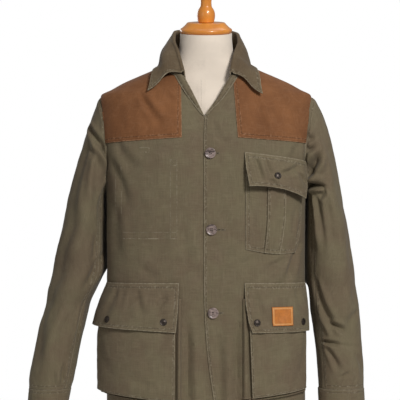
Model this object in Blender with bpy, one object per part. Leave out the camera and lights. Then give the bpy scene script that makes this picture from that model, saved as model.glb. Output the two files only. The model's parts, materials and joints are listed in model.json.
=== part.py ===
"""Canvas field jacket, worn on a limbless tailor's dress form that stands on its own base.

Metres, +Z up, the jacket's front towards -Y. The origin is the middle of the base's underside. Right and
left are the wearer's, so the right front lies at -X and the left front, at +X, laps over it.

Every cloth piece is a thin wall. The body of the jacket is one smooth surface of rounded rings, read from
the BODY table, and each front, back, patch, pocket and flap is laid on that surface and moved out from it.
"""

import math

import bmesh
import bpy
import numpy as np
from mathutils import Matrix, Vector

# ---------------------------------------------------------------- driving dimensions
CANVAS = 0.0015  # wall of a single canvas panel
DOUBLE = 0.0022  # wall of a doubled piece: collar, flap, cuff
FACING = 0.0012  # wall of the facing that turns back at the neck
LEATHER = 0.0014
SEAM = 0.0003  # gap between two pieces that meet at a seam
LAID_ON = 0.0007  # gap between a panel and a piece that lies on it

HEM_Z = 0.100
ARMHOLE_MID_Z = 0.701  # middle of the armhole's oval, where the shoulder patch ends
ARMHOLE_HALF_HEIGHT = 0.107
ARMHOLE_FRONT = 0.062  # reach of the armhole's oval to the front of the side seam
ARMHOLE_BACK = 0.070
ARMPIT_Z = ARMHOLE_MID_Z - ARMHOLE_HALF_HEIGHT
TIP_Z = ARMHOLE_MID_Z + ARMHOLE_HALF_HEIGHT  # outer end of the shoulder seam
NECK_SIDE_Z = 0.892  # inner end of the shoulder seam
NECK_BACK_Z = 0.924
OPENING_Z = 0.7527  # bottom of the open neck
ROLL_TOP_Z = 0.848  # where the turned-back front edge meets the collar

BUTTON_RADIUS = 0.0120
SETTLED = 0.0004  # gap under what rests on, or is pressed into, the piece below it

# Grid of the cloth panels
ARM_STEPS = 5  # rows from armpit to patch, and again from patch to shoulder
LOWER_ROWS = 7  # rows from hem to armpit
ROUND_ARM = 4 * ARM_STEPS  # points round the armhole and round a sleeve
FINE = 60  # steps in a line that is measured before it is cut into grid columns


def smooth(keys, values, at):
    """Reads values at any place between the keys, on a curve that never overshoots them."""
    keys, values = np.asarray(keys, float), np.asarray(values, float)
    step = np.diff(keys)
    slope = np.diff(values) / step
    tangent = np.empty_like(values)
    tangent[0], tangent[-1] = slope[0], slope[-1]
    for i in range(1, len(keys) - 1):
        before, after = slope[i - 1], slope[i]
        rising = before * after > 0
        tangent[i] = 2 * before * after / (before + after) if rising else 0.0
    at = np.clip(np.asarray(at, float), keys[0], keys[-1])
    i = np.clip(np.searchsorted(keys, at) - 1, 0, len(step) - 1)
    t = (at - keys[i]) / step[i]
    rise, bend = t * t * (3 - 2 * t), t * (1 - t)
    return (
        values[i] * (1 - rise)
        + values[i + 1] * rise
        + step[i] * bend * ((1 - t) * tangent[i] - t * tangent[i + 1])
    )


def ease(low, high, at):
    """0 below low, 1 above high, and a smooth step between them."""
    t = np.clip((np.asarray(at, float) - low) / (high - low), 0, 1)
    return t * t * (3 - 2 * t)


class Table:
    """Rows of sizes with named columns, the first column being the place where a row applies."""

    def __init__(self, columns, rows):
        self.data = dict(zip(columns, np.array(rows, float).T))
        self.key = columns[0]

    def read(self, column, at):
        keys = self.data[self.key]
        values = self.data[column]
        if keys[0] > keys[-1]:
            keys, values = keys[::-1], values[::-1]
        return smooth(keys, values, at)


# Rings of the jacket's body, from hem to neck. Above the shoulder's outer end the half width is the
# shoulder line itself.
BODY = Table(
    ("z", "half_width", "front", "back", "square"),
    [
        (0.080, 0.2220, 0.1225, 0.1185, 2.55),
        (0.200, 0.2222, 0.1215, 0.1170, 2.60),
        (0.330, 0.2225, 0.1205, 0.1150, 2.60),
        (0.450, 0.2220, 0.1205, 0.1120, 2.60),
        (0.550, 0.2225, 0.1225, 0.1120, 2.65),
        (0.620, 0.2255, 0.1240, 0.1140, 2.70),
        (0.680, 0.2325, 0.1220, 0.1150, 2.80),
        (0.720, 0.2365, 0.1170, 0.1140, 2.80),
        (0.760, 0.2385, 0.1085, 0.1090, 2.70),
        (0.790, 0.2385, 0.0985, 0.1020, 2.60),
        (0.808, 0.2350, 0.0925, 0.0965, 2.45),
        (0.8205, 0.2120, 0.0885, 0.0930, 2.35),
        (0.8368, 0.1830, 0.0835, 0.0885, 2.30),
        (0.8510, 0.1520, 0.0785, 0.0840, 2.25),
        (0.8665, 0.1165, 0.0735, 0.0785, 2.20),
        (0.880, 0.0940, 0.0720, 0.0745, 2.15),
        (0.892, 0.0820, 0.0700, 0.0715, 2.10),
        (0.910, 0.0760, 0.0670, 0.0685, 2.05),
        (0.940, 0.0730, 0.0640, 0.0660, 2.00),
    ],
)

# Sleeves below the armhole, each ring level. x is the middle's distance from the body's middle plane.
SLEEVE_COLUMNS = ("z", "x", "y", "half_width", "half_depth")
SLEEVES = {
    "right": Table(
        SLEEVE_COLUMNS,
        [
            (0.560, 0.2690, 0.004, 0.0420, 0.076),
            (0.520, 0.2730, 0.005, 0.0465, 0.074),
            (0.470, 0.2800, 0.006, 0.0530, 0.070),
            (0.420, 0.2850, 0.005, 0.0580, 0.066),
            (0.380, 0.2970, 0.003, 0.0537, 0.065),
            (0.340, 0.3115, 0.000, 0.0495, 0.064),
            (0.290, 0.3230, -0.005, 0.0504, 0.061),
            (0.230, 0.3355, -0.011, 0.0500, 0.058),
            (0.180, 0.3446, -0.016, 0.0485, 0.055),
            (0.158, 0.3480, -0.018, 0.0460, 0.052),
            (0.095, 0.3570, -0.023, 0.0424, 0.048),
        ],
    ),
    "left": Table(
        SLEEVE_COLUMNS,
        [
            (0.560, 0.2680, 0.004, 0.0405, 0.076),
            (0.520, 0.2725, 0.005, 0.0455, 0.074),
            (0.470, 0.2770, 0.006, 0.0495, 0.070),
            (0.420, 0.2815, 0.006, 0.0520, 0.067),
            (0.380, 0.2850, 0.005, 0.0535, 0.065),
            (0.340, 0.2890, 0.002, 0.0537, 0.063),
            (0.290, 0.2951, -0.003, 0.0521, 0.060),
            (0.230, 0.2987, -0.009, 0.0512, 0.056),
            (0.180, 0.3007, -0.014, 0.0512, 0.052),
            (0.158, 0.3016, -0.016, 0.0505, 0.049),
            (0.095, 0.3043, -0.021, 0.0500, 0.045),
        ],
    ),
}
# The sleeves' largest folds, round the front of the elbow: how far out each ring is pushed there.
ELBOW_FOLDS = {
    "right": Table(("z", "out"), [(0.095, 0), (0.230, 0), (0.290, 0.0020), (0.340, -0.0030), (0.380, 0.0030),
                                  (0.420, -0.0020), (0.470, 0.0015), (0.560, 0)]),
    "left": Table(("z", "out"), [(0.095, 0), (0.180, -0.0010), (0.230, 0.0015), (0.290, -0.0030),
                                 (0.340, 0.0035), (0.380, -0.0025), (0.420, 0.0015), (0.470, 0), (0.560, 0)]),
}
# How the sleeve head leaves the armhole, at the shoulder on either side and under the arm: outwards, down,
# and how far before it bends.
SLEEVE_HEAD = {"right": (0.50, -0.87, 0.16), "left": (0.78, -0.63, 0.17), "armpit": (0.45, -0.85, 0.045)}
HEAD_FORWARD = 0.25  # how much the head leaves forwards at its front, and backwards at its back
TUBE_REACH = (0.050, 0.160)  # how far above the tube the head has taken its direction: armpit, shoulder
TUBE_SLANT = 0.12
ARMHOLE_WIDTH = 0.232  # the armhole's middle, from the body's middle plane
FOLD_TURN = 0.35  # turns the folds' middle from the sleeve's front towards its outer line
CAP_BOTTOM_Z = 0.560
CAP_RINGS = 5
TUBE_RINGS_Z = (0.520, 0.470, 0.420, 0.380, 0.340, 0.290, 0.230, 0.180)
CUFF_TOP_Z = 0.158
CUFF_BOTTOM_Z = 0.100
CUFF_OUT = 0.0006  # the cuff's outer face stands this far outside the sleeve's
FRONT_SEAM = 8 * 2 * math.pi / ROUND_ARM  # the sleeve's two seams, as turns from its outer line
BACK_SEAM = 13 * 2 * math.pi / ROUND_ARM
ARM_CLEARANCE = 0.0030  # a hanging sleeve stays this far out from the body's side


# ---------------------------------------------------------------- the jacket's body surface
def body_sizes(z, back):
    depth = np.where(back, BODY.read("back", z), BODY.read("front", z))
    return BODY.read("half_width", z), depth, BODY.read("square", z)


def at_width(x, z, back=False):
    """The point of the front, or of the back, at that distance from the middle and that height."""
    x, z = np.broadcast_arrays(np.asarray(x, float), np.asarray(z, float))
    half_width, depth, square = body_sizes(z, back)
    share = np.clip(np.abs(x) / half_width, 0, 1) ** square
    y = depth * (1 - share) ** (1 / square) * (1 if back else -1)
    return np.stack([x, y, z], -1)


def at_depth(y, z, side):
    """The point of the body's side at that depth: side is 1 for the left and -1 for the right."""
    y, z = np.broadcast_arrays(np.asarray(y, float), np.asarray(z, float))
    half_width, depth, square = body_sizes(z, y > 0)
    share = np.clip(np.abs(y) / depth, 0, 1) ** square
    return np.stack([side * half_width * (1 - share) ** (1 / square), y, z], -1)


def outward(points):
    """The body surface's outward direction at points on it."""
    points = np.asarray(points, float)

    def level(z):
        half_width, depth, square = body_sizes(z, points[..., 1] > 0)
        return (np.abs(points[..., 0]) / half_width) ** square + (np.abs(points[..., 1]) / depth) ** square

    x, y, z = points[..., 0], points[..., 1], points[..., 2]
    half_width, depth, square = body_sizes(z, y > 0)
    step = 0.002
    gradient = np.stack(
        [
            square * (np.abs(x) / half_width) ** (square - 1) / half_width * np.sign(x),
            square * (np.abs(y) / depth) ** (square - 1) / depth * np.sign(y),
            (level(z + step) - level(z - step)) / (2 * step),
        ],
        -1,
    )
    return gradient / np.linalg.norm(gradient, axis=-1, keepdims=True)


ARC_Z = np.linspace(HEM_Z - 0.02, 0.93, 160)
ARC_TURN = np.linspace(0, math.pi / 2, 121)


def arc_tables():
    """For each level, the length of the front's half ring and the width reached along it."""
    lengths, widths = [], []
    for z in ARC_Z:
        half_width, depth, square = body_sizes(z, False)
        x = half_width * np.sin(ARC_TURN) ** (2 / square)
        y = depth * np.cos(ARC_TURN) ** (2 / square)
        walked = np.concatenate([[0], np.cumsum(np.hypot(np.diff(x), np.diff(y)))])
        share = np.linspace(0, 1, len(ARC_TURN))
        lengths.append(walked[-1])
        widths.append(np.interp(share * walked[-1], walked, ARC_TURN))
    return np.array(lengths), np.array(widths)


ARC_LENGTH, ARC_ANGLE = arc_tables()


def at_tape(along, z):
    """The point of the front at that tape distance from the middle line, round the ring at height z."""
    along, z = np.broadcast_arrays(np.asarray(along, float), np.asarray(z, float))
    level = np.interp(z, ARC_Z, np.arange(len(ARC_Z)))
    low = np.clip(level.astype(int), 0, len(ARC_Z) - 2)
    share = np.clip(np.abs(along) / np.interp(z, ARC_Z, ARC_LENGTH), 0, 1) * (len(ARC_TURN) - 1)
    step = np.clip(share.astype(int), 0, len(ARC_TURN) - 2)
    up, on = level - low, share - step
    angle = (
        ARC_ANGLE[low, step] * (1 - up) * (1 - on)
        + ARC_ANGLE[low, step + 1] * (1 - up) * on
        + ARC_ANGLE[low + 1, step] * up * (1 - on)
        + ARC_ANGLE[low + 1, step + 1] * up * on
    )
    half_width, depth, square = body_sizes(z, False)
    x = half_width * np.sin(angle) ** (2 / square) * np.sign(along)
    y = -depth * np.cos(angle) ** (2 / square)
    return np.stack([x, y, z], -1)


def resampled(points, shares):
    """Points at those shares of the length of a line through points."""
    points = np.asarray(points, float)
    walked = np.concatenate([[0], np.cumsum(np.linalg.norm(np.diff(points, axis=0), axis=1))])
    at = np.asarray(shares, float) * walked[-1]
    return np.stack([np.interp(at, walked, points[:, i]) for i in range(3)], -1)


def line_on_body(start, end, count, back=False):
    """count + 1 points evenly along the surface, on a line that is straight as seen from the front."""
    turn = np.sin(np.linspace(0, math.pi / 2, FINE))
    x = start[0] + (end[0] - start[0]) * turn
    z = start[1] + (end[1] - start[1]) * turn
    return resampled(at_width(x, z, back), np.linspace(0, 1, count + 1))


def armhole(turn, side):
    """The armhole's oval. turn runs from the shoulder over the front, under the arm and up the back."""
    turn = np.asarray(turn, float)
    reach = np.where(np.sin(turn) >= 0, -ARMHOLE_FRONT, ARMHOLE_BACK)
    y = reach * np.abs(np.sin(turn)) ** 0.9
    return at_depth(y, ARMHOLE_MID_Z + ARMHOLE_HALF_HEIGHT * np.cos(turn), side)


# ---------------------------------------------------------------- making solids
def material(name, colour, roughness, metallic=0.0):
    made = bpy.data.materials.get(name) or bpy.data.materials.new(name)
    made.use_nodes = True
    shader = made.node_tree.nodes["Principled BSDF"]
    shader.inputs["Base Color"].default_value = (*colour, 1.0)
    shader.inputs["Roughness"].default_value = roughness
    shader.inputs["Metallic"].default_value = metallic
    made.diffuse_color = (*colour, 1.0)
    return made


def olive_canvas():
    return material("olive_canvas", (0.150, 0.125, 0.080), 0.85)


def rust_canvas():
    return material("rust_canvas", (0.215, 0.095, 0.040), 0.80)


def horn():
    return material("horn", (0.115, 0.075, 0.060), 0.35)


def dark_bronze():
    return material("dark_bronze", (0.080, 0.060, 0.045), 0.35, 1.0)


def tan_leather():
    return material("tan_leather", (0.46, 0.16, 0.035), 0.55)


def cream_jersey():
    return material("cream_jersey", (0.72, 0.60, 0.48), 0.90)


def beech():
    return material("beech", (0.62, 0.25, 0.06), 0.35)


def add_object(name, mesh, finish, smooth_angle=40):
    mesh.materials.append(finish)
    made = bpy.data.objects.new(name, mesh)
    bpy.context.scene.collection.objects.link(made)
    mesh.shade_smooth()
    mesh.set_sharp_from_angle(angle=math.radians(smooth_angle))
    return made


def wall(name, outer, normals, thickness, finish, round_it=False, guide=None):
    """A closed thin wall under a grid of points. round_it joins the last column to the first.

    Each cell is split along its shorter diagonal, measured on the guide grid if one is given, so that
    pieces laid on each other are split alike.
    """
    outer = np.asarray(outer, float)
    guide = outer if guide is None else guide
    inner = outer - normals * thickness
    rows, columns = outer.shape[:2]
    bm = bmesh.new()
    sheets = [
        [[bm.verts.new(point) for point in row] for row in sheet] for sheet in (outer, inner)
    ]
    spans = columns if round_it else columns - 1
    across = outer[0, 1] - outer[0, 0]
    up = outer[1, 0] - outer[0, 0]
    faces_out = np.dot(np.cross(across, up), normals[0, 0]) > 0

    def add_faces(a, b, c, d, turned, cross=False):
        for corners in ((a, b, d), (b, c, d)) if cross else ((a, b, c), (a, c, d)):
            bm.faces.new(corners[::-1] if turned else corners)

    for sheet, turned in ((sheets[0], not faces_out), (sheets[1], faces_out)):
        for i in range(rows - 1):
            for j in range(spans):
                k = (j + 1) % columns
                rising = np.linalg.norm(guide[i + 1, k] - guide[i, j])
                falling = np.linalg.norm(guide[i + 1, j] - guide[i, k])
                add_faces(sheet[i][j], sheet[i][k], sheet[i + 1][k], sheet[i + 1][j], turned,
                          falling < rising - 1e-6)
    top, under = sheets
    for i, turned in ((0, faces_out), (rows - 1, not faces_out)):
        for j in range(spans):
            k = (j + 1) % columns
            add_faces(top[i][j], top[i][k], under[i][k], under[i][j], turned)
    if not round_it:
        for j, turned in ((0, not faces_out), (columns - 1, faces_out)):
            for i in range(rows - 1):
                add_faces(top[i][j], top[i + 1][j], under[i + 1][j], under[i][j], turned)
    mesh = bpy.data.meshes.new(name)
    bm.to_mesh(mesh)
    bm.free()
    return add_object(name, mesh, finish)


def on_body_wall(name, base, lift, thickness, finish):
    """A wall whose outer face is lifted from base, a grid of points on the body's surface."""
    normals = outward(base)
    lift = np.broadcast_to(np.asarray(lift, float), base.shape[:2])
    return wall(name, base + normals * lift[..., None], normals, thickness, finish, guide=base)


def grid_normals(points, round_it=False):
    """Outward directions of a free-form grid, from its own rows and columns."""
    if round_it:
        across = np.roll(points, -1, axis=1) - np.roll(points, 1, axis=1)
    else:
        across = np.gradient(points, axis=1)
    up = np.gradient(points, axis=0)
    normals = np.cross(across, up)
    return normals / np.linalg.norm(normals, axis=-1, keepdims=True)


def turned(name, profile, finish, segments=24):
    """A solid turned about Z from (radius, height) points that start and end on the axis."""
    bm = bmesh.new()
    points = [bm.verts.new((radius, 0, height)) for radius, height in profile]
    edges = [bm.edges.new(pair) for pair in zip(points, points[1:])]
    bmesh.ops.spin(
        bm,
        geom=points + edges,
        cent=(0, 0, 0),
        axis=(0, 0, 1),
        angle=2 * math.pi,
        steps=segments,
        use_duplicate=False,
    )
    bmesh.ops.remove_doubles(bm, verts=bm.verts, dist=1e-5)
    bmesh.ops.recalc_face_normals(bm, faces=bm.faces)
    mesh = bpy.data.meshes.new(name)
    bm.to_mesh(mesh)
    bm.free()
    return add_object(name, mesh, finish)


def stand_on(made, point, normal):
    """Places a turned piece with its axis along normal and its underside at point."""
    made.rotation_mode = "QUATERNION"
    made.rotation_quaternion = Vector(normal).to_track_quat("Z", "Y")
    made.location = Vector(point)


# ---------------------------------------------------------------- fronts, back and shoulder patches
NECK_COLUMNS = 4
SHOULDER_COLUMNS = 7  # shared by front and back, so that their shoulder seams meet
COLUMNS = NECK_COLUMNS + SHOULDER_COLUMNS  # of one front, or of one half of the back
PATCH_COLUMN = 2  # the shoulder patch's inner edge is a grid line of the front
PATCH_ROW = LOWER_ROWS + ARM_STEPS
TOP_ROW = PATCH_ROW + ARM_STEPS
PATCH_BOTTOM_Z = 0.7105
UPPER_ROWS = np.array([1, 0.74, 0.50, 0.29, 0.12, 0])  # shares of the way down from the shoulder seam
OPENING_ROWS_Z = (0.780, 0.806, 0.831)  # rows of the turned-back edge above the end of the opening

# Distance of each front's edge from the middle plane, towards its own side. The left front's lower corner
# swings open; the right front runs on under it.
FRONT_EDGES = {
    "left": Table(
        ("z", "edge"),
        [(0.08, 0.0260), (0.143, 0.0165), (0.20, 0.0080), (0.26, 0.0010), (0.33, -0.0035), (0.40, -0.0049),
         (0.70, -0.0049), (OPENING_Z, -0.0030), (0.80, 0.0245), (ROLL_TOP_Z, 0.0526)],
    ),
    "right": Table(
        ("z", "edge"),
        [(0.08, -0.0300), (0.66, -0.0300), (0.71, -0.0220), (OPENING_Z, 0.0005), (0.80, 0.0235),
         (ROLL_TOP_Z, 0.0485)],
    ),
}
PATCH_EDGES = {
    "left": Table(("z", "edge"), [(0.08, 0.0820), (0.7105, 0.0685), (0.83, 0.0590), (0.93, 0.0560)]),
    "right": Table(("z", "edge"), [(0.08, 0.0530), (0.7105, 0.0530), (0.83, 0.0550), (0.93, 0.0560)]),
}
UNDERLAP = CANVAS + 0.0010  # how far the right front dips under the left one
LAP_START = 0.010  # the right front is fully under from here, and starts to dip at the next distance
LAP_END = 0.034
LAP_TOP_Z = (OPENING_Z + 0.005, OPENING_Z + 0.045)  # heights over which the underlap runs out
PATCH_TIP_LIFT = 0.0006  # the patch's outer end stands further off, over the shoulder's sharpest curve
PATCH_SHORT_OF_SEAM = 0.12  # share of a cell between the patch and the armhole seam


def shoulder_seam():
    """Distances from the middle, and heights, of the shoulder seam's grid points, from the neck outwards."""
    heights = np.linspace(TIP_Z, NECK_SIDE_Z, 80)
    widths = BODY.read("half_width", heights)
    x = np.linspace(widths[-1], widths[0], SHOULDER_COLUMNS + 1)
    return np.stack([x, np.interp(x, widths[::-1], heights[::-1])], -1)


def front_neckline(name, rise):
    """The front's neckline, from the top of the turned-back edge to the shoulder seam's inner end."""
    start_x = FRONT_EDGES[name].read("edge", ROLL_TOP_Z)
    end_x = BODY.read("half_width", NECK_SIDE_Z)
    x = start_x + (end_x - start_x) * rise
    return x, ROLL_TOP_Z + (NECK_SIDE_Z - ROLL_TOP_Z) * rise**1.6


def back_neckline(rise):
    """The back's neckline, from the middle to the shoulder seam's inner end."""
    x = BODY.read("half_width", NECK_SIDE_Z) * np.asarray(rise)
    return x, NECK_BACK_Z + (NECK_SIDE_Z - NECK_BACK_Z) * np.asarray(rise) ** 2.4


def front_grid(name):
    """Grid of surface points of one front, built for +X. Rows run from the hem to the shoulder seam."""
    edge, patch = FRONT_EDGES[name], PATCH_EDGES[name]
    inner = np.linspace(HEM_Z, ARMPIT_Z, LOWER_ROWS + 1)[:-1]
    turns = math.pi * (1 - np.arange(2 * ARM_STEPS + 1) / (2 * ARM_STEPS))
    arm = armhole(turns, 1)
    rows = []
    for z in inner:
        rows.append(((edge.read("edge", z), z), (patch.read("edge", z), z), (BODY.read("half_width", z), z)))
    for k in range(ARM_STEPS + 1):
        z = ARMPIT_Z + (PATCH_BOTTOM_Z - ARMPIT_Z) * k / ARM_STEPS
        rows.append(((edge.read("edge", z), z), (patch.read("edge", z), z), (arm[k, 0], arm[k, 2])))
    grid = np.zeros((TOP_ROW + 1, COLUMNS + 1, 3))
    for i, (start, middle, end) in enumerate(rows):
        near = line_on_body(start, middle, PATCH_COLUMN)
        far = line_on_body(middle, end, COLUMNS - PATCH_COLUMN)
        grid[i] = np.concatenate([near, far[1:]])

    ends = front_neckline(name, np.array([0, 1]))[0]
    meets = (patch.read("edge", ROLL_TOP_Z) - ends[0]) / (ends[1] - ends[0])
    rises = np.interp(range(NECK_COLUMNS + 1), [0, PATCH_COLUMN, NECK_COLUMNS], [0, meets, 1])
    neck = np.stack(front_neckline(name, rises), -1)
    top = np.concatenate([neck, shoulder_seam()[1:]])
    opening = np.array([PATCH_BOTTOM_Z, OPENING_Z, *OPENING_ROWS_Z, ROLL_TOP_Z])
    for j in range(COLUMNS + 1):
        if j == 0:
            column = at_width(edge.read("edge", opening), opening)
        elif j == COLUMNS:
            column = arm[ARM_STEPS:]
        else:
            below = grid[PATCH_ROW, j]
            fall = np.linspace(0, 1, FINE) ** 2
            x = top[j, 0] + (below[0] - top[j, 0]) * fall
            z = top[j, 1] + (below[2] - top[j, 1]) * fall
            column = resampled(at_width(x, z), UPPER_ROWS)
        grid[PATCH_ROW:, j] = column
    return grid


def mirrored(grid, name):
    """The right front's pieces lie at -X, with their columns still counted from the front edge."""
    return grid * np.array([-1, 1, 1]) if name == "right" else grid


def off_the_seam(grid, back=False):
    """Draws a panel's side and shoulder edges back from the seam, towards the panel."""
    grid = grid.copy()
    shift = SEAM * 0.75 * (1 if back else -1)
    side_rows = slice(0, LOWER_ROWS + 1)
    if back:
        grid[side_rows, 0, 1] += shift
    grid[side_rows, -1, 1] += shift
    grid[-1, :, 1] += shift
    return grid


def tuck(name, grid):
    """Lift of a front: the right front dips smoothly to pass under the left one."""
    if name == "left":
        return np.zeros(grid.shape[:2])
    reach = ease(-LAP_END, -LAP_START, grid[..., 0])
    return -UNDERLAP * reach * (1 - ease(*LAP_TOP_Z, grid[..., 2]))


def front_panels():
    for name in ("right", "left"):
        grid = mirrored(front_grid(name), name)
        panel = off_the_seam(grid)
        on_body_wall(f"front_{name}", panel, tuck(name, grid), CANVAS, olive_canvas())
        patch = panel[PATCH_ROW:, PATCH_COLUMN:]
        normals = outward(patch)
        outer = patch + normals * (LAID_ON + FACING)
        outer[-3:, -2:] += normals[-3:, -2:] * PATCH_TIP_LIFT
        for sheet in (outer, normals):
            sheet[:, -1] += (sheet[:, -2] - sheet[:, -1]) * PATCH_SHORT_OF_SEAM
        wall(f"shoulder_patch_{name}", outer, normals, FACING, rust_canvas(), guide=patch)


def back_panel():
    """The whole back in one piece, from the left side seam to the right one."""
    half = COLUMNS
    turns = math.pi * (1 + np.arange(2 * ARM_STEPS + 1) / (2 * ARM_STEPS))
    arm = armhole(turns, 1)
    levels = np.linspace(HEM_Z, ARMPIT_Z, LOWER_ROWS + 1)[:-1]
    ends = [(BODY.read("half_width", z), z, z) for z in levels]
    ends += [(arm[k, 0], arm[k, 2], ARMPIT_Z + (PATCH_BOTTOM_Z - ARMPIT_Z) * k / ARM_STEPS)
             for k in range(ARM_STEPS + 1)]
    grid = np.zeros((TOP_ROW + 1, half + 1, 3))
    for i, (x, z, middle_z) in enumerate(ends):
        grid[i] = line_on_body((0, middle_z), (x, z), half, back=True)
    neckline = at_width(*back_neckline(np.linspace(0, 1, FINE)), back=True)
    neck = resampled(neckline, np.linspace(0, 1, NECK_COLUMNS + 1))
    top_x = np.concatenate([neck[:, 0], shoulder_seam()[1:, 0]])
    top_z = np.concatenate([neck[:, 2], shoulder_seam()[1:, 1]])
    for j in range(half + 1):
        if j == half:
            grid[PATCH_ROW:, j] = arm[ARM_STEPS:]
            continue
        below = grid[PATCH_ROW, j]
        fall = np.linspace(0, 1, FINE) ** 2
        x = top_x[j] + (below[0] - top_x[j]) * fall
        z = top_z[j] + (below[2] - top_z[j]) * fall
        grid[PATCH_ROW:, j] = resampled(at_width(x, z, True), UPPER_ROWS)
    whole = np.concatenate([(grid * np.array([-1, 1, 1]))[:, :0:-1], grid], axis=1)
    on_body_wall("back", off_the_seam(whole, back=True), 0.0, CANVAS, olive_canvas())


# ---------------------------------------------------------------- sleeves and cuffs
def sleeve_ring(name, turn, z):
    """Point of the sleeve's tube. turn 0 is its outer line, a quarter turn its front."""
    table = SLEEVES[name]
    side = 1 if name == "left" else -1
    fold = ELBOW_FOLDS[name].read("out", z) * np.clip(np.sin(turn + FOLD_TURN), 0, 1) ** 1.5
    x = table.read("x", z) + (table.read("half_width", z) + fold) * np.cos(turn)
    y = table.read("y", z) - (table.read("half_depth", z) + fold) * np.sin(turn)
    return np.stack([side * x, y, z + 0 * turn], -1)


def clear_of_body(points, down, side):
    """Pushes sleeve points out so that the sleeve hangs just clear of the body's side."""
    y, z = points[..., 1], points[..., 2]
    least = at_depth(y, z, 1)[..., 0] + ARM_CLEARANCE * ease(-0.02, 0.18, down)
    in_reach = (np.abs(y) < body_sizes(z, y > 0)[1]) & (down > 0)
    moved = points.copy()
    moved[..., 0] = np.where(in_reach, np.maximum(moved[..., 0] * side, least) * side, moved[..., 0])
    return moved


def sleeve_point(name, turn, down):
    """Sleeve surface: down runs 0 to 1 from the armhole to the tube, then on to 2 at the cuff's seam."""
    turn, down = np.broadcast_arrays(np.asarray(turn, float), np.asarray(down, float))
    side = 1 if name == "left" else -1
    seam = armhole(turn, side)
    towards_middle = np.array([side * ARMHOLE_WIDTH, 0, ARMHOLE_MID_Z]) - seam
    towards_middle /= np.linalg.norm(towards_middle, axis=-1, keepdims=True)
    start = seam + (outward(seam) + towards_middle) * SEAM * 1.5
    end = sleeve_ring(name, turn, np.full(turn.shape, CAP_BOTTOM_Z))
    top = (1 + np.cos(turn)) / 2  # 1 at the shoulder and 0 under the arm
    low, high = np.array(SLEEVE_HEAD["armpit"]), np.array(SLEEVE_HEAD[name])
    out, fall, reach = np.moveaxis(low + (high - low) * top[..., None], -1, 0)
    leave = np.stack([side * out, -HEAD_FORWARD * np.sin(turn), fall], -1) * reach[..., None]
    bottom_reach, top_reach = TUBE_REACH
    arrive = np.stack([side * TUBE_SLANT + 0 * top, 0 * top, -1 + 0 * top], -1)
    arrive = arrive * (bottom_reach + (top_reach - bottom_reach) * top)[..., None]
    t = np.clip(down, 0, 1)[..., None]
    cap = (
        (2 * t**3 - 3 * t**2 + 1) * start
        + (t**3 - 2 * t**2 + t) * leave
        + (3 * t**2 - 2 * t**3) * end
        + (t**3 - t**2) * arrive
    )
    z = CAP_BOTTOM_Z + (CUFF_TOP_Z - CAP_BOTTOM_Z) * np.clip(down - 1, 0, 1)
    tube = sleeve_ring(name, turn, z)
    points = np.where(down[..., None] <= 1, cap, tube)
    return clear_of_body(points, down, side)


def sleeve_downs():
    tube = np.array([*TUBE_RINGS_Z, CUFF_TOP_Z + SEAM])
    below = 1 + (CAP_BOTTOM_Z - tube) / (CAP_BOTTOM_Z - CUFF_TOP_Z)
    return np.concatenate([np.linspace(0, 1, CAP_RINGS + 1), below])


def surface_normals(function, turn, down):
    """Outward directions of a surface function, from small steps along it."""
    step = 0.004
    across = function(turn + step, down) - function(turn - step, down)
    along = function(turn, np.minimum(down + step, 2)) - function(turn, np.maximum(down - step, 0))
    normals = np.cross(across, along)
    return normals / np.linalg.norm(normals, axis=-1, keepdims=True)


def sleeves():
    downs = sleeve_downs()
    slot = SEAM / 0.11  # the seam's gap as a turn at twice the sleeve's radius
    step = 2 * math.pi / ROUND_ARM
    spans = {
        "sleeve_upper": np.arange(BACK_SEAM - 2 * math.pi, FRONT_SEAM + step / 2, step),
        "sleeve_under": np.arange(FRONT_SEAM, BACK_SEAM + step / 2, step),
    }
    for name in ("right", "left"):
        facing = 1 if name == "left" else -1
        for piece, turns in spans.items():
            turns = turns.copy()
            turns[0] += slot
            turns[-1] -= slot
            turn, down = np.meshgrid(turns, downs)
            points = sleeve_point(name, turn, down)
            normals = surface_normals(lambda t, d: sleeve_point(name, t, d), turn, down) * facing
            wall(f"{piece}_{name}", points, normals, CANVAS, olive_canvas())
        cuff(name, step)


def cuff(name, step):
    turns = np.arange(0, 2 * math.pi - step / 2, step)
    levels = np.array([CUFF_TOP_Z, CUFF_BOTTOM_Z])
    turn, z = np.meshgrid(turns, levels)
    points = sleeve_ring(name, turn, z)
    side = 1 if name == "left" else -1
    normals = grid_normals(points, round_it=True) * side
    points = points + normals * CUFF_OUT
    wall(f"cuff_{name}", points, normals, DOUBLE, olive_canvas(), round_it=True)


# ---------------------------------------------------------------- collar and turned-back facings
COLLAR_COLUMNS = ("round", "x", "y", "z")
# From the middle of the back (round 0) to the collar's front end (round 1): the roll at the top ...
ROLL = {
    "right": Table(COLLAR_COLUMNS, [
        (0.00, 0.0000, 0.0670, 0.9680), (0.25, 0.0440, 0.0580, 0.9690), (0.45, 0.0715, 0.0280, 0.9620),
        (0.60, 0.0730, -0.0080, 0.9390), (0.75, 0.0640, -0.0430, 0.9100), (0.90, 0.0560, -0.0700, 0.8800),
        (1.00, 0.0505, -0.0870, 0.8590)]),
    "left": Table(COLLAR_COLUMNS, [
        (0.00, 0.0000, 0.0670, 0.9680), (0.25, 0.0440, 0.0580, 0.9670), (0.45, 0.0725, 0.0280, 0.9560),
        (0.60, 0.0750, -0.0080, 0.9360), (0.75, 0.0660, -0.0430, 0.9080), (0.90, 0.0590, -0.0700, 0.8790),
        (1.00, 0.0560, -0.0870, 0.8570)]),
}
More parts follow.
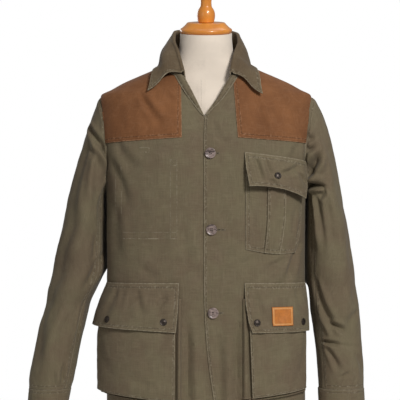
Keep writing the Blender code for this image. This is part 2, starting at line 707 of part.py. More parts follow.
# ... and the outer edge of the fall.
FALL_EDGE = {
    "right": Table(COLLAR_COLUMNS, [
        (0.00, 0.0000, 0.0930, 0.8950), (0.25, 0.0600, 0.0790, 0.8880), (0.45, 0.1000, 0.0430, 0.8760),
        (0.60, 0.1165, 0.0050, 0.8690), (0.75, 0.1220, -0.0380, 0.8560), (0.90, 0.1265, -0.0700, 0.8330),
        (1.00, 0.1275, -0.0920, 0.8130)]),
    "left": Table(COLLAR_COLUMNS, [
        (0.00, 0.0000, 0.0930, 0.8950), (0.25, 0.0600, 0.0790, 0.8870), (0.45, 0.0990, 0.0430, 0.8740),
        (0.60, 0.1130, 0.0050, 0.8690), (0.75, 0.1170, -0.0380, 0.8520), (0.90, 0.1200, -0.0700, 0.8270),
        (1.00, 0.1220, -0.0930, 0.8040)]),
}
ROLL_RADIUS = 0.0048
ROLL_TURNS = np.radians([202, 155, 105, 55, 10])  # of the fold's points, from the stand over to the fall
COLLAR_SPANS = 12  # from the middle of the back to either front end
FALL_SHARES = (0.25, 0.5, 0.75, 1.0)  # columns of the fall
FALL_BULGE = 0.006
STAND_INSIDE = 0.0028  # the stand starts this far inside the neck seam, and this far above it
STAND_ABOVE = 0.0034
STAND_TUCK = np.array([-0.0095, -0.002, -0.009])  # how far its front ends hang inside the neck edge
STAND_TUCK_ROUND = (0.64, 1.0)
FALL_CLEAR = (0.0056, 0.0080)  # least distance of the fall's outer face from the body: back, front
FALL_CLEAR_ROUND = (0.70, 0.86)


def over_body(points):
    """Rough distance of points from the body's surface, outwards."""
    x, y, z = points[..., 0], points[..., 1], points[..., 2]

    def level(x, y, z):
        half_width, depth, square = body_sizes(z, y > 0)
        return ((np.abs(x) / half_width) ** square + (np.abs(y) / depth) ** square) ** (1 / square)

    step = 0.001
    slope = np.stack([
        level(x + step, y, z) - level(x - step, y, z),
        level(x, y + step, z) - level(x, y - step, z),
        level(x, y, z + step) - level(x, y, z - step),
    ], -1) / (2 * step)
    steepness = np.linalg.norm(slope, axis=-1)
    return (level(x, y, z) - 1) / steepness, slope / steepness[..., None]


def kept_off_body(points, least):
    """Moves points out until they are at least that far from the body's surface."""
    for _ in range(4):
        distance, away = over_body(points)
        points = points + away * np.maximum(least - distance, 0)[..., None]
    return points


def neck_seam(name, round_):
    """The neckline the collar is sewn to, round 0 at the middle of the back and 1 at its front end."""
    rise = np.linspace(0, 1, 40)
    back = at_width(*back_neckline(rise), back=True)
    front = at_width(*front_neckline(name, rise[::-1]))
    return resampled(np.concatenate([back, front[1:]]), round_)


def collar_half(name, round_):
    """Grid of the collar's upper face for one side, in columns from the neck seam over the roll."""
    seam = neck_seam(name, round_)
    seam = seam - outward(seam) * STAND_INSIDE + np.array([0, 0, STAND_ABOVE])
    seam = seam + STAND_TUCK * ease(*STAND_TUCK_ROUND, round_)[:, None]
    roll = np.stack([ROLL[name].read(axis, round_) for axis in "xyz"], -1)
    edge = np.stack([FALL_EDGE[name].read(axis, round_) for axis in "xyz"], -1)
    flat = (edge - roll) * np.array([1, 1, 0])
    flat /= np.linalg.norm(flat, axis=-1, keepdims=True)
    up = np.array([0, 0, 1.0])
    centre = roll - up * ROLL_RADIUS
    bend = [centre + ROLL_RADIUS * (np.cos(turn) * flat + np.sin(turn) * up) for turn in ROLL_TURNS]
    fall = edge - bend[-1]
    away = np.cross(np.cross(fall, flat), fall)
    away /= np.linalg.norm(away, axis=-1, keepdims=True)
    away *= np.sign(away[..., 2:3])
    leaf = [bend[-1] + fall * share + away * 4 * share * (1 - share) * FALL_BULGE for share in FALL_SHARES]
    near, far = FALL_CLEAR
    least = near + (far - near) * ease(*FALL_CLEAR_ROUND, round_)
    leaf = kept_off_body(np.stack(leaf, 1), least[:, None])
    return np.concatenate([np.stack([seam, (seam + bend[0]) / 2, *bend], 1), leaf], 1)


def collar():
    round_ = np.linspace(0, 1, COLLAR_SPANS + 1)
    left = collar_half("left", round_)
    right = collar_half("right", round_) * np.array([-1, 1, 1])
    grid = np.concatenate([right[:0:-1], left], axis=0)
    grid[COLLAR_SPANS] = (left[0] + right[0]) / 2
    normals = grid_normals(grid)
    if normals[COLLAR_SPANS, -2, 1] < 0:
        normals = -normals
    wall("collar", grid, normals, DOUBLE, olive_canvas())


FACING_WIDTH = {"right": 0.0200, "left": 0.0180}  # at the top of the turned-back edge
FACING_ROWS_Z = np.array([0.7640, 0.780, 0.796, 0.812, 0.827, 0.841])
OVER_PATCH_Z = (0.790, 0.828)  # heights over which a facing climbs onto the shoulder patch
FACING_SET_IN = 0.0004
FACING_CURL = 0.0006  # how much further out its free edge stands


def facings():
    """The strips of facing that turn back beside the open neck."""
    share = np.linspace(0, 1, 4)
    for name, full_width in FACING_WIDTH.items():
        start = FRONT_EDGES[name].read("edge", FACING_ROWS_Z)[:, None] + FACING_SET_IN
        width = full_width * (FACING_ROWS_Z - OPENING_Z)[:, None] / (ROLL_TOP_Z - OPENING_Z)
        grid = mirrored(at_width(start + width * share, FACING_ROWS_Z[:, None]), name)
        lift = (LAID_ON + FACING) * (1 + ease(*OVER_PATCH_Z, grid[..., 2]))
        lift = lift + FACING_CURL * share + tuck(name, grid)
        on_body_wall(f"facing_{name}", grid, lift, FACING, olive_canvas())


# ---------------------------------------------------------------- pockets and flaps
def between(start, end, rows, columns):
    """Tape-and-height grid between two edge lines, each listed from the bottom up."""
    edges = []
    for line in (start, end):
        points = np.array([(along, z, 0) for along, z in line], float)
        edges.append(resampled(points, np.asarray(rows))[:, :2])
    columns = np.asarray(columns)[None, :, None]
    return edges[0][:, None] * (1 - columns) + edges[1][:, None] * columns


def ring_points(grid, name):
    side = -1 if name == "right" else 1
    return at_tape(grid[..., 0], grid[..., 1]) * np.array([side, 1, 1])


def lifted(grid, name, lift):
    base = ring_points(grid, name)
    normals = outward(base)
    return base + normals * np.asarray(lift)[..., None]


def facing_out(points):
    """Directions of a grid that all point away from the body's middle line."""
    normals = grid_normals(points)
    return normals if np.sum(normals * points * np.array([1, 1, 0])) > 0 else -normals


# Each lower pocket: its two edges by tape distance from the middle, its depth at those edges.
LOWER_POCKETS = {
    "right": dict(inner=0.0615, outer=0.2560, low_inner=0.140, low_outer=0.157, depth_inner=0.0150,
                  depth_outer=0.0230),
    "left": dict(inner=0.0860, outer=0.2420, low_inner=0.140, low_outer=0.157, depth_inner=0.0120,
                 depth_outer=0.0075),
}
POCKET_MOUTH_Z = 0.362
POCKET_ROWS = 0.010 * np.array([0, 0.75, 1.6, 4.5, 8.5, 13, 18])  # heights above a pocket's foot
MOUTH_SHUT = 0.56  # share of its depth that a pocket loses at its mouth
GUSSET = 0.009  # sideways reach of the gusset's slope
POCKET_OFF = 0.0008  # gap between a pocket's edge and the front


def lower_pocket(name):
    size = LOWER_POCKETS[name]
    width = size["outer"] - size["inner"]
    foot = GUSSET / width
    slope = np.array([0, 0.75, 1.5]) * foot
    columns = np.concatenate([slope, np.linspace(0.2, 0.8, 5), 1 - slope[::-1]])
    rows = np.append(POCKET_ROWS / (POCKET_MOUTH_Z - size["low_inner"]), 1)
    grid = between(
        [(size["inner"], size["low_inner"]), (size["inner"], POCKET_MOUTH_Z)],
        [(size["outer"], size["low_outer"]), (size["outer"], POCKET_MOUTH_Z)],
        rows,
        columns,
    )
    rise_across = np.minimum(ease(0, foot * 1.6, columns), ease(0, foot * 1.6, 1 - columns))
    rise_up = ease(0, rows[2] * 1.05, rows)
    depth = size["depth_inner"] + (size["depth_outer"] - size["depth_inner"]) * columns
    mouth = 1 - MOUTH_SHUT * ease(0.55, 1.0, rows)
    lift = POCKET_OFF + CANVAS + depth[None] * rise_across[None] * (rise_up * mouth)[:, None]
    points = lifted(grid, name, lift)
    wall(f"lower_pocket_{name}", points, facing_out(points), CANVAS, olive_canvas())


# Flap outlines as (tape distance, height) from the lower edge up to the seam, how far each one's lower edge
# stands off the body at its two ends and dips in its middle, and its snaps as shares across and up.
FLAPS = {
    "lower_right": dict(
        side="right",
        start=[(0.0640, 0.2900), (0.0605, 0.3350), (0.0590, 0.3960)],
        end=[(0.2640, 0.3010), (0.2560, 0.3500), (0.2500, 0.3940)],
        stand_off=(0.0190, 0.0300), belly=0.0030, point=0, snaps=((0.1375, 0.20), (0.73, 0.18)),
    ),
    "lower_left": dict(
        side="left",
        start=[(0.0970, 0.2890), (0.0900, 0.3100), (0.0840, 0.3500), (0.0825, 0.3960)],
        end=[(0.2380, 0.2880), (0.2420, 0.3400), (0.2500, 0.3940)],
        stand_off=(0.0165, 0.0120), belly=0.0030, point=0, snaps=((0.112, 0.21), (0.83, 0.20)),
    ),
    "chest": dict(
        side="left",
        start=[(0.0900, 0.6060), (0.0845, 0.6450), (0.0830, 0.6790)],
        end=[(0.2170, 0.5800), (0.2300, 0.6200), (0.2380, 0.6615)],
        stand_off=(0.0095, 0.0085), belly=0.0045, point=-0.0040, snaps=((0.46, 0.38),),
    ),
}


def flap_grid(key, rows, columns):
    """Points of a flap's outer face. Rows run 0 at the lower edge to 1 at the seam."""
    flap = FLAPS[key]
    rows, columns = np.asarray(rows, float), np.asarray(columns, float)
    grid = between(flap["start"], flap["end"], rows, columns)
    hang = (1 - rows)[:, None]
    near, far = flap["stand_off"]
    stand = near + (far - near) * columns[None]
    lift = LAID_ON + DOUBLE + stand * hang**0.75 + flap["belly"] * np.sin(math.pi * hang)
    grid[..., 1] -= flap["point"] * np.sin(math.pi * columns)[None] * hang
    return lifted(grid, flap["side"], lift)


def flap(key):
    rows = np.array([0, 0.06, 0.2, 0.4, 0.62, 0.82, 1.0])
    columns = np.linspace(0, 1, 11)
    points = flap_grid(key, rows, columns)
    wall(f"flap_{key}", points, facing_out(points), DOUBLE, olive_canvas())
    for index, (column, row) in enumerate(FLAPS[key]["snaps"]):
        point, normal = flap_place(key, column, row)
        made = turned(f"snap_{key}_{index + 1}", SNAP_PROFILE, dark_bronze(), 20)
        stand_on(made, point + normal * SETTLED, normal)


def flap_place(key, column, row):
    """A point of the flap's outer face and the direction it faces."""
    step = 0.03
    around = np.array([-step, 0, step])
    patch = flap_grid(key, row + around, column + around)
    return patch[1, 1], facing_out(patch)[1, 1]


SNAP_PROFILE = [
    (0, 0), (0.0068, 0), (0.0072, 0.0006), (0.0068, 0.0014), (0.0050, 0.0021), (0.0025, 0.0024), (0, 0.0025),
]
BUTTON_PROFILE = [
    (0, 0), (0.0085, 0), (0.0112, 0.0008), (BUTTON_RADIUS, 0.0020), (0.0116, 0.0031), (0.0104, 0.0034),
    (0.0092, 0.0029), (0.0080, 0.0023), (0, 0.0020),
]


# The chest pocket's two edges as (tape distance, height), from its foot up to its mouth.
CHEST_INNER = [(0.0895, 0.4685), (0.0870, 0.5500), (0.0860, 0.6320)]
CHEST_OUTER = [(0.2080, 0.4610), (0.2260, 0.5300), (0.2280, 0.6200)]
CHEST_DIP = 0.006  # how far the foot's middle is below its corners
CHEST_FULLNESS = 0.0025
PLEAT = (0.325, 0.385)  # shares across where the box pleat's fold starts to rise, and where it has risen
PLEAT_DEPTH = 0.0026


def chest_pocket():
    """A patch pocket with a box pleat down its middle."""
    columns = np.array([0, 0.14, 0.28, 0.335, 0.375, 0.50, 0.62, 0.66, 0.715, 0.86, 1.0])
    rows = np.array([0, 0.03, 0.15, 0.35, 0.55, 0.78, 1.0])
    grid = between(CHEST_INNER, CHEST_OUTER, rows, columns)
    middle = np.sin(math.pi * columns)[None]
    grid[..., 1] -= CHEST_DIP * middle * (1 - rows)[:, None]
    pleat = np.minimum(ease(*PLEAT, columns), ease(*PLEAT, 1 - columns))[None]
    filled = (ease(0, 0.2, rows) * (1 - 0.7 * ease(0.7, 1, rows)))[:, None]
    lift = POCKET_OFF + CANVAS + PLEAT_DEPTH * pleat + CHEST_FULLNESS * middle * filled
    points = lifted(grid, "left", lift)
    wall("chest_pocket", points, facing_out(points), CANVAS, olive_canvas())


LABEL_COLUMNS = (0.330, 0.640)  # the leather patch's ends, as shares across and up the flap
LABEL_ROWS = (0.135, 0.520)


def label():
    """The bare leather patch on the left lower flap."""
    columns = np.linspace(*LABEL_COLUMNS, 4)
    rows = np.linspace(*LABEL_ROWS, 4)
    points = flap_grid("lower_left", rows, columns)
    normals = facing_out(points)
    outer = points + normals * (LAID_ON + LEATHER)
    wall("leather_patch", outer, normals, LEATHER, tan_leather())


BUTTON_PLACES = [(0.0086, 0.6763), (0.0114, 0.5110), (0.0147, 0.3310)]  # x and z, down the left front


def buttons():
    for index, (x, z) in enumerate(BUTTON_PLACES):
        point = at_width(x, z)
        normal = outward(point)
        made = turned(f"button_{index + 1}", BUTTON_PROFILE, horn(), 28)
        stand_on(made, point + normal * SETTLED, normal)


# ---------------------------------------------------------------- dress form
FORM = Table(
    ("z", "half_width", "front", "back", "square"),
    [
        (0.0300, 0.1680, 0.1000, 0.1020, 2.3),
        (0.2000, 0.1740, 0.1050, 0.1080, 2.3),
        (0.3200, 0.1680, 0.1030, 0.1040, 2.3),
        (0.4300, 0.1480, 0.0960, 0.0900, 2.3),
        (0.5000, 0.1480, 0.0960, 0.0900, 2.3),
        (0.6000, 0.1620, 0.1080, 0.0980, 2.4),
        (0.6800, 0.1730, 0.1080, 0.1020, 2.5),
        (0.7400, 0.1850, 0.0980, 0.0980, 2.5),
        (0.7750, 0.2080, 0.0880, 0.0930, 2.4),
        (0.7900, 0.2160, 0.0840, 0.0900, 2.3),
        (0.8054, 0.2140, 0.0780, 0.0860, 2.2),
        (0.8181, 0.2062, 0.0720, 0.0820, 2.1),
        (0.8344, 0.1814, 0.0650, 0.0760, 2.0),
        (0.8486, 0.1510, 0.0600, 0.0710, 2.0),
        (0.8641, 0.1155, 0.0565, 0.0665, 2.0),
        (0.8770, 0.0912, 0.0555, 0.0635, 2.0),
        (0.8900, 0.0715, 0.0555, 0.0615, 2.0),
        (0.9150, 0.0610, 0.0575, 0.0600, 2.0),
        (0.9380, 0.0585, 0.0585, 0.0585, 2.0),
    ],
)
NECK_TOP_Z = 0.9520
NECK_RADIUS = 0.0585
NECK_LEAN = math.radians(12)  # the neck's top faces a little forward
BASE_HEIGHT = 0.022
FORM_AROUND = 48
FORM_RINGS_Z = np.array([
    0.0300, 0.060, 0.12, 0.18, 0.24, 0.30, 0.36, 0.42, 0.48, 0.54, 0.60, 0.65, 0.70, 0.74, 0.765, 0.782, 0.794,
    0.8054, 0.8181, 0.8265, 0.8344, 0.8415, 0.8486, 0.8564, 0.8641, 0.8720, 0.8810, 0.8930, 0.9100, 0.9300,
    NECK_TOP_Z,
])
# The turned wooden pieces as (radius, height).
PEG_TOP = FORM_RINGS_Z[0] - SETTLED
BASE_PROFILE = [
    (0, 0), (0.165, 0), (0.170, 0.004), (0.170, 0.017), (0.166, BASE_HEIGHT - 0.0012), (0.162, BASE_HEIGHT),
    (0.030, BASE_HEIGHT), (0.030, PEG_TOP), (0, PEG_TOP),
]
CAP_HEIGHT = 0.0240
CAP_PROFILE = [
    (0, 0), (0.0575, 0), (NECK_RADIUS, 0.0010), (NECK_RADIUS, 0.0036), (0.0570, 0.0052), (0.0430, 0.0225),
    (0.0412, CAP_HEIGHT), (0, CAP_HEIGHT),
]
FINIAL_PROFILE = [
    (0, 0), (0.0170, 0), (0.0185, 0.0030), (0.0200, 0.0110), (0.0200, 0.0190), (0.0180, 0.0270),
    (0.0140, 0.0325), (0.0125, 0.0360), (0.0125, 0.0500), (0.0140, 0.0530), (0.0185, 0.0600),
    (0.0205, 0.0700), (0.0185, 0.0800), (0.0120, 0.0880), (0.0050, 0.0915), (0, 0.0920),
]


def dress_form():
    turns = np.linspace(0, 2 * math.pi, FORM_AROUND + 1)[:-1]
    bm = bmesh.new()
    rings = []
    for z in FORM_RINGS_Z:
        y_side = -np.cos(turns)
        half_width = FORM.read("half_width", z)
        depth = np.where(y_side > 0, FORM.read("back", z), FORM.read("front", z))
        square = FORM.read("square", z)
        x = half_width * np.sign(np.sin(turns)) * np.abs(np.sin(turns)) ** (2 / square)
        y = depth * np.sign(y_side) * np.abs(y_side) ** (2 / square)
        height = z + y * math.tan(NECK_LEAN) * ease(0.905, NECK_TOP_Z, z)
        rings.append([bm.verts.new(point) for point in zip(x, y, np.broadcast_to(height, x.shape))])
    for low, high in zip(rings, rings[1:]):
        for j in range(FORM_AROUND):
            k = (j + 1) % FORM_AROUND
            bm.faces.new((low[j], low[k], high[k], high[j]))
    bm.faces.new(rings[0][::-1])
    bm.faces.new(rings[-1])
    bmesh.ops.recalc_face_normals(bm, faces=bm.faces)
    mesh = bpy.data.meshes.new("form_body")
    bm.to_mesh(mesh)
    bm.free()
    add_object("form_body", mesh, cream_jersey())
    turned("form_base", BASE_PROFILE, beech(), 48)
    cap = turned("neck_cap", CAP_PROFILE, beech(), 40)
    finial = turned("finial", FINIAL_PROFILE, beech(), 32)
    up = np.array([0, -math.sin(NECK_LEAN), math.cos(NECK_LEAN)])
    neck_top = np.array([0, 0, NECK_TOP_Z])
    stand_on(cap, neck_top + up * SETTLED, up)
    stand_on(finial, neck_top + up * (CAP_HEIGHT + 2 * SETTLED), up)


def main():
    for existing in list(bpy.data.objects):
        bpy.data.objects.remove(existing)
    front_panels()
    back_panel()
    sleeves()
    collar()
    facings()
    for name in ("right", "left"):
        lower_pocket(name)
    chest_pocket()
    for key in FLAPS:
        flap(key)
    label()
    buttons()
    dress_form()


main()
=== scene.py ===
"""Looks of a canvas field jacket buttoned on a limbless dress form.

The cloth is remade as thin shells on the same surfaces that the solids follow, with their creases, seams,
stitching, buttons and snaps. Metres, +Z up, the jacket's front towards -Y. Right and left are the wearer's,
so the left front, which laps over the right one, lies at +X.
"""

import json
import math

import bpy
import numpy as np
from bpy.props import FloatProperty, FloatVectorProperty, PointerProperty
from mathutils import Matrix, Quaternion, Vector

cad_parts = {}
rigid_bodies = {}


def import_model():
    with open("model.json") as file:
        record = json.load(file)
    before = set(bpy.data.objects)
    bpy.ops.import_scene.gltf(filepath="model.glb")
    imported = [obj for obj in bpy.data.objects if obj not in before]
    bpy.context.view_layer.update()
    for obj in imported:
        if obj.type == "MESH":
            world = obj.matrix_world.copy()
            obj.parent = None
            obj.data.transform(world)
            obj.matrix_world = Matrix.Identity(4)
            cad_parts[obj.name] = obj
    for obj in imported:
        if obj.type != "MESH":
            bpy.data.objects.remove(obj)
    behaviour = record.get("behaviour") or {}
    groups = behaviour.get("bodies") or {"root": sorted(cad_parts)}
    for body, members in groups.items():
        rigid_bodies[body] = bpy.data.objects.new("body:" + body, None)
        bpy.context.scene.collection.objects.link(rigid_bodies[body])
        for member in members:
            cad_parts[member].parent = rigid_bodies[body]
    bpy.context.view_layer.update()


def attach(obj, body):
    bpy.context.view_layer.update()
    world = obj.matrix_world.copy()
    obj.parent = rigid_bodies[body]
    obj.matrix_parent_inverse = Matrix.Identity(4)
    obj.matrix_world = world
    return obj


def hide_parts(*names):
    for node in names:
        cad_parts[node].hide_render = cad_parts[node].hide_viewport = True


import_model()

bl_info = {
    "name": "Canvas field jacket",
    "version": (1, 0, 0),
    "blender": (4, 5, 0),
    "location": "3D View > Sidebar > Jacket",
    "description": "Makes a canvas field jacket on a dress form, piece by piece",
    "category": "Object",
}

SIDE = {"left": 1, "right": -1}  # the sign of X on the wearer's sides
MIRROR = np.array([-1, 1, 1])
LEVEL = np.array([1, 1, 0])  # leaves out the height

# ---------------------------------------------------------------- sizes shared with the solids
SEAM = 0.0003  # gap between pieces that are sewn edge to edge
LAID_ON = 0.0007  # gap under a piece that is laid on another
CANVAS = 0.0015  # thickness of one layer, of a facing, of doubled cloth and of the leather
FACING = 0.0012
DOUBLE = 0.0022
LEATHER = 0.0014

HEM_Z = 0.100
ARMHOLE_MID_Z = 0.701
ARMHOLE_HALF_HEIGHT = 0.107
ARMHOLE_FRONT = 0.062
ARMHOLE_BACK = 0.070
ARMHOLE_WIDTH = 0.232
ARMPIT_Z = ARMHOLE_MID_Z - ARMHOLE_HALF_HEIGHT
TIP_Z = ARMHOLE_MID_Z + ARMHOLE_HALF_HEIGHT
NECK_SIDE_Z = 0.892
NECK_BACK_Z = 0.924
OPENING_Z = 0.7527
ROLL_TOP_Z = 0.848
PATCH_BOTTOM_Z = 0.7105
UNDERLAP = CANVAS + 0.0010  # how far the right front dips under the left one
FINE = 60  # points on each of the solids' guide lines
ROUND_ARM = 20  # cells of the solids' grid round a sleeve


def smooth(keys, values, at):
    """Reads values at any place between the keys, on a curve that never overshoots them."""
    keys, values = np.asarray(keys, float), np.asarray(values, float)
    step = np.diff(keys)
    slope = np.diff(values) / step
    tangent = np.empty_like(values)
    tangent[0], tangent[-1] = slope[0], slope[-1]
    for i in range(1, len(keys) - 1):
        before, after = slope[i - 1], slope[i]
        rising = before * after > 0
        tangent[i] = 2 * before * after / (before + after) if rising else 0.0
    at = np.clip(np.asarray(at, float), keys[0], keys[-1])
    i = np.clip(np.searchsorted(keys, at) - 1, 0, len(step) - 1)
    t = (at - keys[i]) / step[i]
    rise, bend = t * t * (3 - 2 * t), t * (1 - t)
    return (
        values[i] * (1 - rise)
        + values[i + 1] * rise
        + step[i] * bend * ((1 - t) * tangent[i] - t * tangent[i + 1])
    )


def ease(low, high, at):
    """0 below low, 1 above high, and a smooth step between them."""
    t = np.clip((np.asarray(at, float) - low) / (high - low), 0, 1)
    return t * t * (3 - 2 * t)


def bell(distance, reach):
    return np.exp(-((np.asarray(distance, float) / reach) ** 2))


class Table:
    """Rows of sizes with named columns, the first column being the place where a row applies."""

    def __init__(self, columns, rows):
        self.data = dict(zip(columns, np.array(rows, float).T))
        self.key = columns[0]

    def read(self, column, at):
        keys = self.data[self.key]
        values = self.data[column]
        if keys[0] > keys[-1]:
            keys, values = keys[::-1], values[::-1]
        return smooth(keys, values, at)


# Rings of the jacket's body, from hem to neck. Above the shoulder's outer end the half width is the
# shoulder line itself.
BODY = Table(("z", "half_width", "front", "back", "square"), [
    (0.08, 0.222, 0.1225, 0.1185, 2.55), (0.2, 0.2222, 0.1215, 0.117, 2.6),
    (0.33, 0.2225, 0.1205, 0.115, 2.6), (0.45, 0.222, 0.1205, 0.112, 2.6),
    (0.55, 0.2225, 0.1225, 0.112, 2.65), (0.62, 0.2255, 0.124, 0.114, 2.7),
    (0.68, 0.2325, 0.122, 0.115, 2.8), (0.72, 0.2365, 0.117, 0.114, 2.8),
    (0.76, 0.2385, 0.1085, 0.109, 2.7), (0.79, 0.2385, 0.0985, 0.102, 2.6),
    (0.808, 0.235, 0.0925, 0.0965, 2.45), (0.8205, 0.212, 0.0885, 0.093, 2.35),
    (0.8368, 0.183, 0.0835, 0.0885, 2.3), (0.851, 0.152, 0.0785, 0.084, 2.25),
    (0.8665, 0.1165, 0.0735, 0.0785, 2.2), (0.88, 0.094, 0.072, 0.0745, 2.15),
    (0.892, 0.082, 0.07, 0.0715, 2.1), (0.91, 0.076, 0.067, 0.0685, 2.05),
    (0.94, 0.073, 0.064, 0.066, 2),
])

# Sleeves below the armhole, each ring level. x is the middle's distance from the body's middle plane.
SLEEVE_COLUMNS = ("z", "x", "y", "half_width", "half_depth")
SLEEVES = {
    "right": Table(SLEEVE_COLUMNS, [
        (0.56, 0.269, 0.004, 0.042, 0.076), (0.52, 0.273, 0.005, 0.0465, 0.074),
        (0.47, 0.28, 0.006, 0.053, 0.07), (0.42, 0.285, 0.005, 0.058, 0.066),
        (0.38, 0.297, 0.003, 0.0537, 0.065), (0.34, 0.3115, 0, 0.0495, 0.064),
        (0.29, 0.323, -0.005, 0.0504, 0.061), (0.23, 0.3355, -0.011, 0.05, 0.058),
        (0.18, 0.3446, -0.016, 0.0485, 0.055), (0.158, 0.348, -0.018, 0.046, 0.052),
        (0.095, 0.357, -0.023, 0.0424, 0.048),
    ]),
    "left": Table(SLEEVE_COLUMNS, [
        (0.56, 0.268, 0.004, 0.0405, 0.076), (0.52, 0.2725, 0.005, 0.0455, 0.074),
        (0.47, 0.277, 0.006, 0.0495, 0.07), (0.42, 0.2815, 0.006, 0.052, 0.067),
        (0.38, 0.285, 0.005, 0.0535, 0.065), (0.34, 0.289, 0.002, 0.0537, 0.063),
        (0.29, 0.2951, -0.003, 0.0521, 0.06), (0.23, 0.2987, -0.009, 0.0512, 0.056),
        (0.18, 0.3007, -0.014, 0.0512, 0.052), (0.158, 0.3016, -0.016, 0.0505, 0.049),
        (0.095, 0.3043, -0.021, 0.05, 0.045),
    ]),
}
# The sleeves' largest folds, round the front of the elbow: how far out each ring is pushed there.
ELBOW_FOLDS = {
    "right": Table(("z", "out"), [(0.095, 0), (0.230, 0), (0.290, 0.0020), (0.340, -0.0030), (0.380, 0.0030),
                                  (0.42, -0.002), (0.47, 0.0015), (0.56, 0)]),
    "left": Table(("z", "out"), [(0.095, 0), (0.180, -0.0010), (0.230, 0.0015), (0.290, -0.0030),
                                 (0.34, 0.0035), (0.38, -0.0025), (0.42, 0.0015), (0.47, 0), (0.56, 0)]),
}
# How the sleeve head leaves the armhole, at the shoulder on either side and under the arm: outwards, down,
# and how far before it bends.
SLEEVE_HEAD = {"right": (0.5, -0.87, 0.16), "left": (0.78, -0.63, 0.17), "armpit": (0.45, -0.85, 0.045)}
HEAD_FORWARD = 0.25  # how much the head leaves forwards at its front, and backwards at its back
TUBE_REACH = (0.05, 0.16)  # how far above the tube the head has taken its direction: armpit, shoulder
TUBE_SLANT = 0.12  # how much the head still runs outwards where it meets the tube
FOLD_TURN = 0.35  # turns the folds' middle from the sleeve's front towards its outer line
CAP_BOTTOM_Z = 0.560
CUFF_TOP_Z = 0.158
CUFF_BOTTOM_Z = 0.100
FRONT_SEAM = 8 * 2 * math.pi / ROUND_ARM  # the sleeve's two seams, as turns from its outer line
BACK_SEAM = 13 * 2 * math.pi / ROUND_ARM
ARM_CLEARANCE = 0.0022  # a hanging sleeve stays this far out from the body's side


# ---------------------------------------------------------------- the jacket's body surface
def body_sizes(z, back):
    depth = np.where(back, BODY.read("back", z), BODY.read("front", z))
    return BODY.read("half_width", z), depth, BODY.read("square", z)


def at_width(x, z, back=False):
    """The point of the front, or of the back, at that distance from the middle and that height."""
    x, z = np.broadcast_arrays(np.asarray(x, float), np.asarray(z, float))
    half_width, depth, square = body_sizes(z, back)
    share = np.clip(np.abs(x) / half_width, 0, 1) ** square
    y = depth * (1 - share) ** (1 / square) * (1 if back else -1)
    return np.stack([x, y, z], -1)


def at_depth(y, z, side):
    """The point of the body's side at that depth: side is 1 for the left and -1 for the right."""
    y, z = np.broadcast_arrays(np.asarray(y, float), np.asarray(z, float))
    half_width, depth, square = body_sizes(z, y > 0)
    share = np.clip(np.abs(y) / depth, 0, 1) ** square
    return np.stack([side * half_width * (1 - share) ** (1 / square), y, z], -1)


def outward(points):
    """The body surface's outward direction at points on it."""
    points = np.asarray(points, float)

    def level(z):
        half_width, depth, square = body_sizes(z, points[..., 1] > 0)
        return (np.abs(points[..., 0]) / half_width) ** square + (np.abs(points[..., 1]) / depth) ** square

    x, y, z = points[..., 0], points[..., 1], points[..., 2]
    half_width, depth, square = body_sizes(z, y > 0)
    step = 0.002
    gradient = np.stack(
        [
            square * (np.abs(x) / half_width) ** (square - 1) / half_width * np.sign(x),
            square * (np.abs(y) / depth) ** (square - 1) / depth * np.sign(y),
            (level(z + step) - level(z - step)) / (2 * step),
        ],
        -1,
    )
    return gradient / np.linalg.norm(gradient, axis=-1, keepdims=True)


ARC_Z = np.linspace(HEM_Z - 0.02, 0.93, 160)
ARC_TURN = np.linspace(0, math.pi / 2, 121)


def arc_tables():
    """For each level, the length of the front's half ring and the width reached along it."""
    lengths, widths = [], []
    for z in ARC_Z:
        half_width, depth, square = body_sizes(z, False)
        x = half_width * np.sin(ARC_TURN) ** (2 / square)
        y = depth * np.cos(ARC_TURN) ** (2 / square)
        walked = np.concatenate([[0], np.cumsum(np.hypot(np.diff(x), np.diff(y)))])
        share = np.linspace(0, 1, len(ARC_TURN))
        lengths.append(walked[-1])
        widths.append(np.interp(share * walked[-1], walked, ARC_TURN))
    return np.array(lengths), np.array(widths)


ARC_LENGTH, ARC_ANGLE = arc_tables()


def at_tape(along, z):
    """The point of the front at that tape distance from the middle line, round the ring at height z."""
    along, z = np.broadcast_arrays(np.asarray(along, float), np.asarray(z, float))
    level = np.interp(z, ARC_Z, np.arange(len(ARC_Z)))
    low = np.clip(level.astype(int), 0, len(ARC_Z) - 2)
    share = np.clip(np.abs(along) / np.interp(z, ARC_Z, ARC_LENGTH), 0, 1) * (len(ARC_TURN) - 1)
    step = np.clip(share.astype(int), 0, len(ARC_TURN) - 2)
    up, on = level - low, share - step
    angle = (
        ARC_ANGLE[low, step] * (1 - up) * (1 - on)
        + ARC_ANGLE[low, step + 1] * (1 - up) * on
        + ARC_ANGLE[low + 1, step] * up * (1 - on)
        + ARC_ANGLE[low + 1, step + 1] * up * on
    )
    half_width, depth, square = body_sizes(z, False)
    x = half_width * np.sin(angle) ** (2 / square) * np.sign(along)
    y = -depth * np.cos(angle) ** (2 / square)
    return np.stack([x, y, z], -1)


def distance_along(line):
    """Distance of each point of a line from its first one."""
    return np.concatenate([[0], np.cumsum(np.linalg.norm(np.diff(line, axis=0), axis=1))])


def read_along(at, along, values):
    """Reads points or directions, listed by their distance along a line, at other distances."""
    return np.stack([np.interp(at, along, values[:, k]) for k in range(3)], -1)


def resampled(points, shares):
    """Points at those shares of the length of a line through points."""
    points = np.asarray(points, float)
    along = distance_along(points)
    return read_along(np.asarray(shares, float) * along[-1], along, points)


def line_on_body(start, end, count, back=False):
    """count + 1 points evenly along the surface, on a line that is straight as seen from the front."""
    turn = np.sin(np.linspace(0, math.pi / 2, FINE))
    x = start[0] + (end[0] - start[0]) * turn
    z = start[1] + (end[1] - start[1]) * turn
    return resampled(at_width(x, z, back), np.linspace(0, 1, count + 1))


